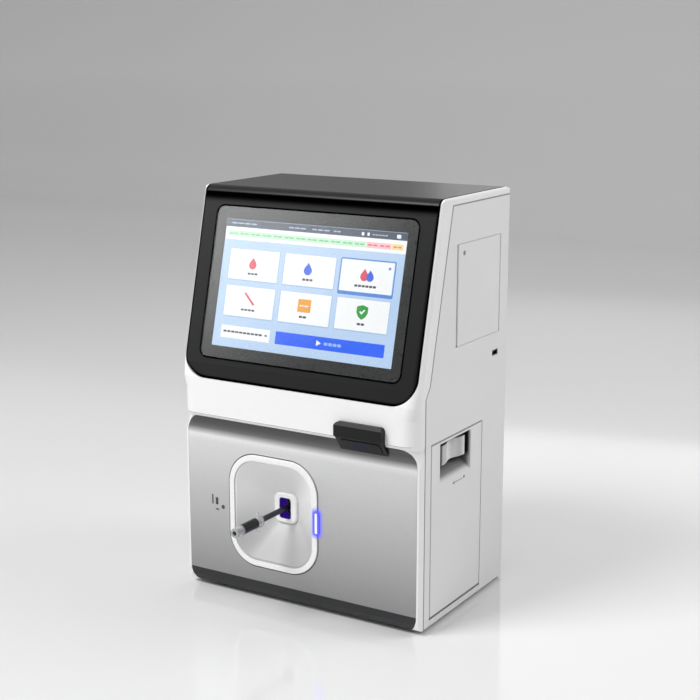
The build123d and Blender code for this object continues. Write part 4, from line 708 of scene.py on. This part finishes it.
layer("screen_field", 0, "b4d0f3", "c6ddf8", [(tile, 0, 0, PICTURE_WIDTH, PICTURE_HEIGHT, 0.3)])
layer("screen_header", 1, "3c4758", "465264", [(tile, 0.3, 0.3, PICTURE_WIDTH - 0.3, STRIP_TOP, 0.1)])
layer("screen_shade", 1, "9dbce4", "a6c4ea",
      [(tile, left - 0.8, top - 0.3, right + 0.8, bottom + 1.2, 1.4)
       for left, top, right, bottom in tiles])
layer("screen_frame", 2, "4c84d8", "5a90e0", [(tile, 144.5, 29.0, 208.0, 65.6, 1.8)])
layer("screen_white", 3, "fafcff", "ffffff",
      [(tile, *corners) for corners in tiles]
      + [(tile, 0.3, STRIP_TOP, PICTURE_WIDTH - 0.3, STRIP_BOTTOM, 0.1),
         (tile, COLUMNS[0][0], KEY_TOP, COLUMNS[0][1], KEY_BOTTOM)])
layer("screen_key", 3, "0c5af8", "1464fd",
      [(tile, COLUMNS[1][0], KEY_TOP, COLUMNS[2][1], KEY_BOTTOM, 0.6)])
print("tiles:", len(tiles))

# %% Result cells
CELL_TOP, CELL_BOTTOM, CELL_MIDDLE = 11.8, 17.6, 14.7
GREEN_LEFT, GREEN_RIGHT, GREEN_CELLS = 4, 171, 12
pitch = (GREEN_RIGHT - GREEN_LEFT) / GREEN_CELLS
green_starts = [GREEN_LEFT + 1 + pitch * index for index in range(GREEN_CELLS)]
for name, left, right, *tones in (("green", GREEN_LEFT, GREEN_RIGHT, "c6f3cf", "cff6d7"),
                                  ("red", 171.6, 199.6, "ffc4cc", "ffcdd4"),
                                  ("amber", 200.2, 213, "ffdf9e", "ffe4ac")):
    layer("screen_" + name + "_cells", 4, *tones, [(tile, left, CELL_TOP, right, CELL_BOTTOM, 0.4)])
for name, low, high, spans in (
    ("green", "78c98a", "84d095", [(start, start + pitch - 2) for start in green_starts]),
    ("red", "e8697a", "ee7484", [(173, 185), (187, 199)]), ("amber", "d99a3a", "e0a346", [(202, 212)]),
):
    layer("screen_" + name + "_words", 5, low, high,
          [(words, *span, CELL_MIDDLE, 1.5, 2) for span in spans])
print("cells:", GREEN_CELLS)

# %% [markdown]
# The signs on the tiles are common ones: a red drop, a blue drop, both together, a slanted
# capillary, a folder and a shield with a tick.

# %% Signs and words
SHIELD = ((176.3, 74.2), (182.8, 76.2), (182.8, 82.0), (180.4, 86.2), (176.3, 89.0),
          (172.2, 86.2), (169.8, 82.0), (169.8, 76.2))
TICK = ((173.2, 81.3), (174.3, 80.2), (175.6, 81.6), (178.6, 78.4), (179.7, 79.5), (175.6, 84.0))
CAPILLARY = ((33.6, 76.0), (35.2, 74.4), (47.6, 86.4), (46.0, 88.0))
PLAY = ((128.0, 114.2), (133.6, 117.2), (128.0, 120.2))

layer("screen_red_signs", 5, "e2445c", "e85068",
      [(drop, 39.6, 46.0, 4.6), (drop, 173.6, 46.2, 4.6), (flat, CAPILLARY, 0.5)])
layer("screen_blue_signs", 6, "2d5be0", "3a68ea",
      [(drop, 107.4, 46.0, 4.8), (drop, 180.2, 46.6, 4.3), (tile, 200.0, 35.8, 203.0, 37.0, 0.3),
       (tile, 200.9, 34.9, 202.1, 37.9, 0.3)])
layer("screen_folder", 5, "f2a01e", "f7aa2c", [(tile, 100.6, 75.2, 116.2, 88.4, 1.0)])
layer("screen_shield", 5, "0b9a2c", "12a435", [(flat, SHIELD, 0.9)])
layer("screen_white_signs", 7, "f4f7fb", "ffffff",
      [(flat, TICK, 0.3), (flat, PLAY, 0.5), (words, 103.0, 114.6, 82.0, 1.2, 2),
       (tile, 164.6, 2.6, 167.6, 6.0, 0.8), (tile, 171.2, 2.6, 173.8, 6.0, 0.8),
       (tile, 204.6, 2.4, 209.4, 6.2, 1.0)])
layer("screen_pale_words", 6, "a9bbd6", "b5c6de",
      [(words, 7, 40, 3.9, 1.4, 4), (words, 78, 100, 4.2, 1.4, 3), (words, 106, 128, 4.2, 1.4, 3),
       (words, 132, 141, 4.2, 1.4, 2), (words, 177, 195, 4.4, 1.2, 5)])
layer("screen_key_words", 6, "8fb6ff", "a4c4ff", [(words, 137, 158, 117.2, 3.0, 4)])
layer("screen_dark_words", 6, "2c3038", "383d46",
      [(words, 34.5, 47.5, 55.2, 2.0, 3), (words, 102.0, 115.0, 55.4, 2.2, 3),
       (words, 163.6, 189.0, 55.8, 2.2, 6), (words, 31.6, 49.4, 92.8, 2.0, 4),
       (words, 103.6, 113.0, 93.2, 2.2, 2), (words, 172.0, 181.0, 93.4, 2.2, 2),
       (words, 13.2, 62.6, 116.8, 2.0, 10), (tile, 65.2, 115.9, 67.8, 117.7, 0.3)])
print("signs drawn")

# %% [markdown]
# The border print is a ring: two rounded outlines with the same number of corners, bridged.

# %% Border print behind the glass
PICTURE_CENTRE, PICTURE_CORNER = PICTURE_TOP - PICTURE_HEIGHT / 2, 0.6
PRINT_BACK, PRINT_THICKNESS = -1.88, 0.05
bm = bmesh.new()
for width, height, middle, corner in (
    (GLASS_WIDTH, GLASS_HEIGHT, GLASS_CENTRE, GLASS_CORNER),
    (PICTURE_WIDTH, PICTURE_HEIGHT, PICTURE_CENTRE, PICTURE_CORNER),
):
    outline = bmesh.ops.create_grid(bm, x_segments=1, y_segments=1, size=0.5)["verts"]
    bmesh.ops.scale(bm, verts=outline, vec=(width, height, 1))
    bmesh.ops.translate(bm, verts=outline, vec=(0, middle, 0))
    bmesh.ops.bevel(bm, geom=outline, offset=corner, segments=6, profile=0.5, affect="VERTICES",
                    material=-1)
bmesh.ops.delete(bm, geom=bm.faces[:], context="FACES_ONLY")
bmesh.ops.bridge_loops(bm, edges=bm.edges[:])
thicken(bm, PRINT_THICKNESS)
border_ink = surface("screen_print_black_ink", "0b0c0e", "101114", 0.3, grain=2.0, depth=0.001)
keep(bm, "glass_border_print", face @ Matrix.Translation((0, 0, PRINT_BACK)), border_ink,
     "housing", "cover_glass")
print("border print:", GLASS_WIDTH, "x", GLASS_HEIGHT, "mm")

# %% [markdown]
# ## Signs and small hardware
#
# A printed sign has no height, but the model needs something to carry it, so each one is a
# plate a twentieth of a millimetre thick, a hair off its surface. The signs here are plain
# strokes: a tube and a syringe beside the port, a pull mark on the drawer, and the two marks
# of a rocker switch, which ride on the rocker.

# %% Printed signs
ON_RIGHT, ON_BACK = 90, 180          # turns of a face, in degrees
SWITCH_OFFSET, ROCKER_DEPTH, ROCKER_CREST = 17.5, 6.0, 5.4
ROCKER_TILT, ROCKER_FLANK = 8.0, 9.15


def ring(bm, x, y, outer, inner):
    """A flat ring; y runs down."""
    edges = {}
    for radius in (outer, inner):
        made = bmesh.ops.create_circle(bm, cap_ends=False, segments=28, radius=radius,
                                       matrix=Matrix.Translation((x, -y, 0)))
        edges.update(dict.fromkeys(edge for vertex in made["verts"] for edge in vertex.link_edges))
    bmesh.ops.bridge_loops(bm, edges=list(edges))


def ink(name, low, high):
    """Finish of a printed sign."""
    return surface("pad_print_" + name + "_ink", low, high, 0.5, grain=1.0, depth=0.001)


plates("port_signs", [
    (tile, -109.9, -106.8, -108.1, -96.2, 0.4), (tile, -105.2, -104.2, -101.7, -96.2, 0.7),
    (tile, -105.2, -91.8, -100.8, -90.2, 0.3), (tile, -97.6, -96.9, -93.2, -92.5, 2.1),
], on_face((0, lower_panel_y, 0)), ink("grey", "3c3d3f", "464749"))
plates("pull_sign", [
    (flat, [(3.4, -142.0), (8.0, -144.0), (8.0, -140.0)]), (tile, 8.2, -142.4, 26.0, -141.6, 0.3),
    (tile, 27.4, -144.6, 31.0, -141.0, 1.7),
], on_face((drawer_side, 0, 0), ON_RIGHT), ink("pale", "8c8d8f", "949597"), "reagent_drawer")

_, inlet_high, inlet_middle, _ = measure("power_inlet")
rocker_pin = Vector((inlet_middle.x + SWITCH_OFFSET, inlet_high.y - ROCKER_DEPTH, inlet_middle.z))
rocker = Matrix.Translation(rocker_pin * MM) @ Matrix.Rotation(radians(ROCKER_TILT), 4, "X")
crest = rocker @ Matrix.Translation((0, ROCKER_CREST * MM, 0))
mark_white = ink("white", "e8e9ea", "f0f1f2")
for name, flank, shape in (("on", 1, (tile, -0.35, -6.4, 0.35, -3.2, 0.2)),
                           ("off", -1, (ring, 0, 4.8, 1.7, 1.15))):
    lean = Matrix.Rotation(radians(ROCKER_FLANK * flank), 4, "X")
    plates("rocker_" + name + "_mark", [shape], crest @ lean @ on_face((0, 0, 0), ON_BACK),
           mark_white, "power_rocker")
print("signs on the front, the drawer and the rocker")

# %% [markdown]
# The back is held by screws with a cross recess. At this size the shade in the recess reads as a dark
# cross on a bright head, and a dark plate gives that painted shade. Sockets for cables are folded from
# nickelled sheet round a black block, so a bright rim goes round each opening, and the power inlet has
# three flat pins of plated brass, drawn over the block's own.

# %% Screw recesses
HEAD_RADIUS, SECOND_SCREW = 2.9, 215.0


def cross(bm, x, y, reach=1.7, half=0.4):
    """The outline of a cross recess, a quarter at a time."""
    corners = []
    for a, b in ((1, 1), (1, -1), (-1, -1), (-1, 1)):
        arm = [(a * half, b * reach), (a * half, b * half), (a * reach, b * half)]
        corners += arm if a == b else arm[::-1]
    flat(bm, [(x + right, y + down) for right, down in corners])


screws_low, screws_high = measure("rear_screws")[:2]
screw_x, screw_top = screws_high.x - HEAD_RADIUS, screws_high.z - HEAD_RADIUS
screw_levels = (screws_low.z + HEAD_RADIUS, SECOND_SCREW, (SECOND_SCREW + screw_top) / 2, screw_top)
crosses = [(cross, x, -level) for x in (-screw_x, screw_x) for level in screw_levels]
# painted shade: a dark cross for the shade in each recess
plates("screw_recesses", crosses, on_face((0, screws_high.y, 0), ON_BACK),
       surface("screw_recess_shadow", "141517", "1b1c1e", 0.5, grain=0.7, depth=0.001))
print("screws at x +/-", round(screw_x, 1), "and z", rounded(screw_levels))

# %% Rims of the sockets
NETWORK_IN, NETWORK_HALF, NETWORK_FOOT, NETWORK_TOP, NETWORK_RIM = 8.0, 5.9, 2.0, 10.0, 1.6
STACK_IN, STACK_HALF, STACK_FEET, STACK_TALL, STACK_RIM = 7.25, 6.2, (1.2, 8.6), 5.2, 0.9
USB_HALF_WIDTH, USB_HALF_HEIGHT, USB_RIM = 5.9, 2.4, 0.55


def rim(bm, middle, half, low, high, wide):
    """Four strips round an opening between two heights; its middle counts along the face."""
    left, right, top, bottom = middle - half, middle + half, -high, -low
    for strip in ((left - wide, top - wide, right + wide, top), (left - wide, top, left, bottom),
                  (left - wide, bottom, right + wide, bottom + wide),
                  (right, top, right + wide, bottom)):
        tile(bm, *strip, 0.0)


nickel = surface("steel_sheet_nickelled", "b4b6b8", "c6c8ca", 0.28, grain=0.8, depth=0.002,
                 sockets=METAL)
sockets_low, sockets_high = measure("rear_sockets")[:2]
foot = sockets_low.z
rear_rims = [(rim, -sockets_low.x - NETWORK_IN, NETWORK_HALF, foot + NETWORK_FOOT, foot + NETWORK_TOP,
              NETWORK_RIM)]
for low in STACK_FEET:
    rear_rims.append((rim, STACK_IN - sockets_high.x, STACK_HALF, foot + low, foot + low + STACK_TALL,
                      STACK_RIM))
plates("rear_socket_rims", rear_rims, on_face((0, sockets_high.y, 0), ON_BACK), nickel,
       "housing", "sheet_steel")
_, usb_high, usb_middle, _ = measure("side_usb_socket")
side_rim = (rim, usb_middle.y, USB_HALF_WIDTH, usb_middle.z - USB_HALF_HEIGHT,
            usb_middle.z + USB_HALF_HEIGHT, USB_RIM)
plates("side_socket_rim", [side_rim], on_face((usb_high.x, 0, 0), ON_RIGHT), nickel,
       "housing", "sheet_steel")
print("openings rimmed:", len(rear_rims) + 1)

# %% Pins of the power inlet
PINS, PIN_SIZE, PIN_BACK, PIN_TIP = ((-7, -2), (0, 1.5), (7, -2)), (2.3, 4.3), 16.0, 2.7
SOCKET_OFFSET, PIN_EDGE = -12.5, 0.4
bm = bmesh.new()
for across, up in PINS:
    pin = bmesh.ops.create_cube(bm, size=1.0)["verts"]
    bmesh.ops.scale(bm, verts=pin, vec=(PIN_SIZE[0], PIN_BACK - PIN_TIP, PIN_SIZE[1]))
    middle = (inlet_middle.x + SOCKET_OFFSET + across, inlet_high.y - (PIN_BACK + PIN_TIP) / 2,
              inlet_middle.z + up)
    bmesh.ops.translate(bm, verts=pin, vec=middle)
bmesh.ops.bevel(bm, geom=bm.edges[:], offset=PIN_EDGE, segments=3, profile=0.5, affect="EDGES",
                material=-1)
pin_plate = surface("brass_nickel_plated", "b3a37c", "c4b48c", 0.26, grain=0.7, depth=0.001,
                    sockets=METAL)
keep(bm, "inlet_pins", Matrix.Scale(MM, 4), pin_plate, "housing", "brass")
print("pins:", len(PINS))

# %% [markdown]
# Behind its door the printer shows a loose strip of paper, which leaves the roll on its outer
# side and runs in a straight line to the gap between the printing head and the roller on the
# door. The line touches the roll, so the place where it leaves follows from the circle.

# %% Paper between the roll and the head
PAPER, TORN_END, PAPER_MARGIN, PAPER_GAP = 0.1, 7.0, 0.5, 0.12
roll_low, _, roll_middle, roll_half = measure("paper_roll")
platen_low, _, platen_middle, _ = measure("platen_roller")
nip = Vector((platen_low.x - 0.2, platen_middle.y))
to_nip = nip - roll_middle.xy
roll_radius = roll_half.x + PAPER_GAP
turn = atan2(to_nip.y, to_nip.x) + acos(roll_radius / to_nip.length)
leaves = roll_middle.xy + Vector((cos(turn), sin(turn))) * roll_radius
bm = bmesh.new()
path = [bm.verts.new((*point, roll_low.z + PAPER_MARGIN))
        for point in (leaves, nip, nip - Vector((0, TORN_END)))]
strip = bmesh.ops.extrude_edge_only(bm, edges=[bm.edges.new(pair) for pair in zip(path, path[1:])])
bmesh.ops.translate(bm, verts=vertices_of(strip), vec=(0, 0, 2 * roll_half.z - 2 * PAPER_MARGIN))
bmesh.ops.solidify(bm, geom=bm.faces[:], thickness=PAPER)
keep(bm, "paper_strip", Matrix.Scale(MM, 4), thermal_paper, "housing", "paper_white")
print("paper leaves the roll at", rounded(leaves), "and meets the roller at", rounded(nip))

# %% [markdown]
# ## Studio
#
# A pale floor and backdrop, an even room and three soft boxes. The camera sees the tone that
# the far floor fades to, so the horizon stays quiet. Gloss mirrors a room that is pale
# behind the analyzer and dimmer in front of it, with one soft window at the front left,
# which the cover glass shows in its upper corner. What the room adds to the light on the
# object stays moderate, so colours come out about as they are written.

# %% Room
WINDOW = Vector((-0.66, -0.66, 0.36)).normalized()
WINDOW_EDGE, WINDOW_CORE = 0.96, 0.998       # cosines of the angle off its middle
WINDOW_LIGHT, FILL_LIGHT, FRONT_LIGHT = 4.4, 0.46, 0.45
scene = bpy.context.scene
scene.view_settings.view_transform = "Standard"
world = bpy.data.worlds.new("studio_room")
scene.world = world
world.use_nodes = True
tree = world.node_tree
tree.nodes.clear()
rays = add_node(tree, "LightPath").outputs
gloss_or_glass = add_node(tree, "Math", {0: rays["Is Glossy Ray"], 1: rays["Is Transmission Ray"]},
                          operation="MAXIMUM")
direction = add_node(tree, "TexCoord").outputs["Generated"]
towards = add_node(tree, "SeparateXYZ", {"Vector": direction}).outputs["Y"]
depth_light = add_node(tree, "MapRange",
                       {"Value": towards, "From Min": -0.5, "From Max": 0.4, "To Min": FRONT_LIGHT})
off_window = add_node(tree, "VectorMath", {0: direction, 1: WINDOW}, operation="DOT_PRODUCT")
window_light = add_node(tree, "MapRange",
                        {"Value": off_window.outputs["Value"], "From Min": WINDOW_EDGE,
                         "From Max": WINDOW_CORE, "To Max": WINDOW_LIGHT},
                        interpolation_type="SMOOTHSTEP")
room_light = add_node(tree, "Math", {0: depth_light, 1: window_light}, operation="ADD")
fill = add_node(tree, "Background", {"Color": colour("ffffff"), "Strength": FILL_LIGHT})
mirrored = add_node(tree, "Background", {"Color": colour("e2e2e2"), "Strength": room_light})
backdrop = add_node(tree, "Background", {"Color": colour("bebebe")})
unseen = add_node(tree, "MixShader", {0: gloss_or_glass, 1: fill, 2: mirrored})
room = add_node(tree, "MixShader", {0: rays["Is Camera Ray"], 1: unseen, 2: backdrop})
add_node(tree, "OutputWorld", {"Surface": room})
print("the room is made of", len(tree.nodes), "nodes")

# %% Floor that sweeps up into the backdrop
WALL_Y, SWEEP, FLOOR_REACH, WALL_TALL = 2.6, 1.6, 9.0, 5.0     # metres
bm = bmesh.new()
front = bm.edges.new([bm.verts.new((end * FLOOR_REACH, -FLOOR_REACH, 0)) for end in (-1, 1)])
back = bmesh.ops.extrude_edge_only(bm, edges=[front])
back_verts = vertices_of(back)
bmesh.ops.translate(bm, verts=back_verts, vec=(0, FLOOR_REACH + WALL_Y, 0))
back_edges = [item for item in back["geom"] if isinstance(item, bmesh.types.BMEdge)
              and all(vertex in back_verts for vertex in item.verts)]
bent = bmesh.ops.spin(bm, geom=back_edges + back_verts, cent=(0, WALL_Y, SWEEP), axis=(1, 0, 0),
                      angle=radians(90), steps=24)["geom_last"]
bent_edges = [item for item in bent if isinstance(item, bmesh.types.BMEdge)]
wall = bmesh.ops.extrude_edge_only(bm, edges=bent_edges)
bmesh.ops.translate(bm, verts=vertices_of(wall), vec=(0, 0, WALL_TALL))
for polygon in bm.faces:
    polygon.smooth = True
floor_paint = surface("studio_floor_pale", "e4e4e4", "e8e8e8", 0.09, drift=900, grain=400.0,
                      depth=0.0, gloss_swing=0.01)
floor = add_object(bm, "studio_floor", floor_paint)
print("floor reaches", FLOOR_REACH, "m, wall at", WALL_Y + SWEEP, "m")


# %% Soft boxes
AIM_HEIGHT = 0.22                    # metres, about the middle of the analyzer


def soft_box(name, place, size, power):
    """Square lamp that faces the middle of the analyzer."""
    lamp_data = bpy.data.lights.new(name, "AREA")
    lamp_data.size = size
    lamp_data.energy = power
    lamp = bpy.data.objects.new(name, lamp_data)
    scene.collection.objects.link(lamp)
    lamp.location = place
    lamp.visible_camera = False
    towards_aim = Vector((0, 0, AIM_HEIGHT)) - lamp.location
    lamp.rotation_euler = towards_aim.to_track_quat("-Z", "Y").to_euler()


soft_box("key_front_left", (-0.9, -1.5, 2.3), 1.1, 51)
soft_box("fill_right", (1.3, 0.8, 1.5), 0.9, 11)
soft_box("low_back", (-0.4, 1.7, 0.7), 0.7, 1.3)
print("three soft boxes")

# %% Parts still without a finish
print("still bare:", sorted(set(nodes) - dressed))
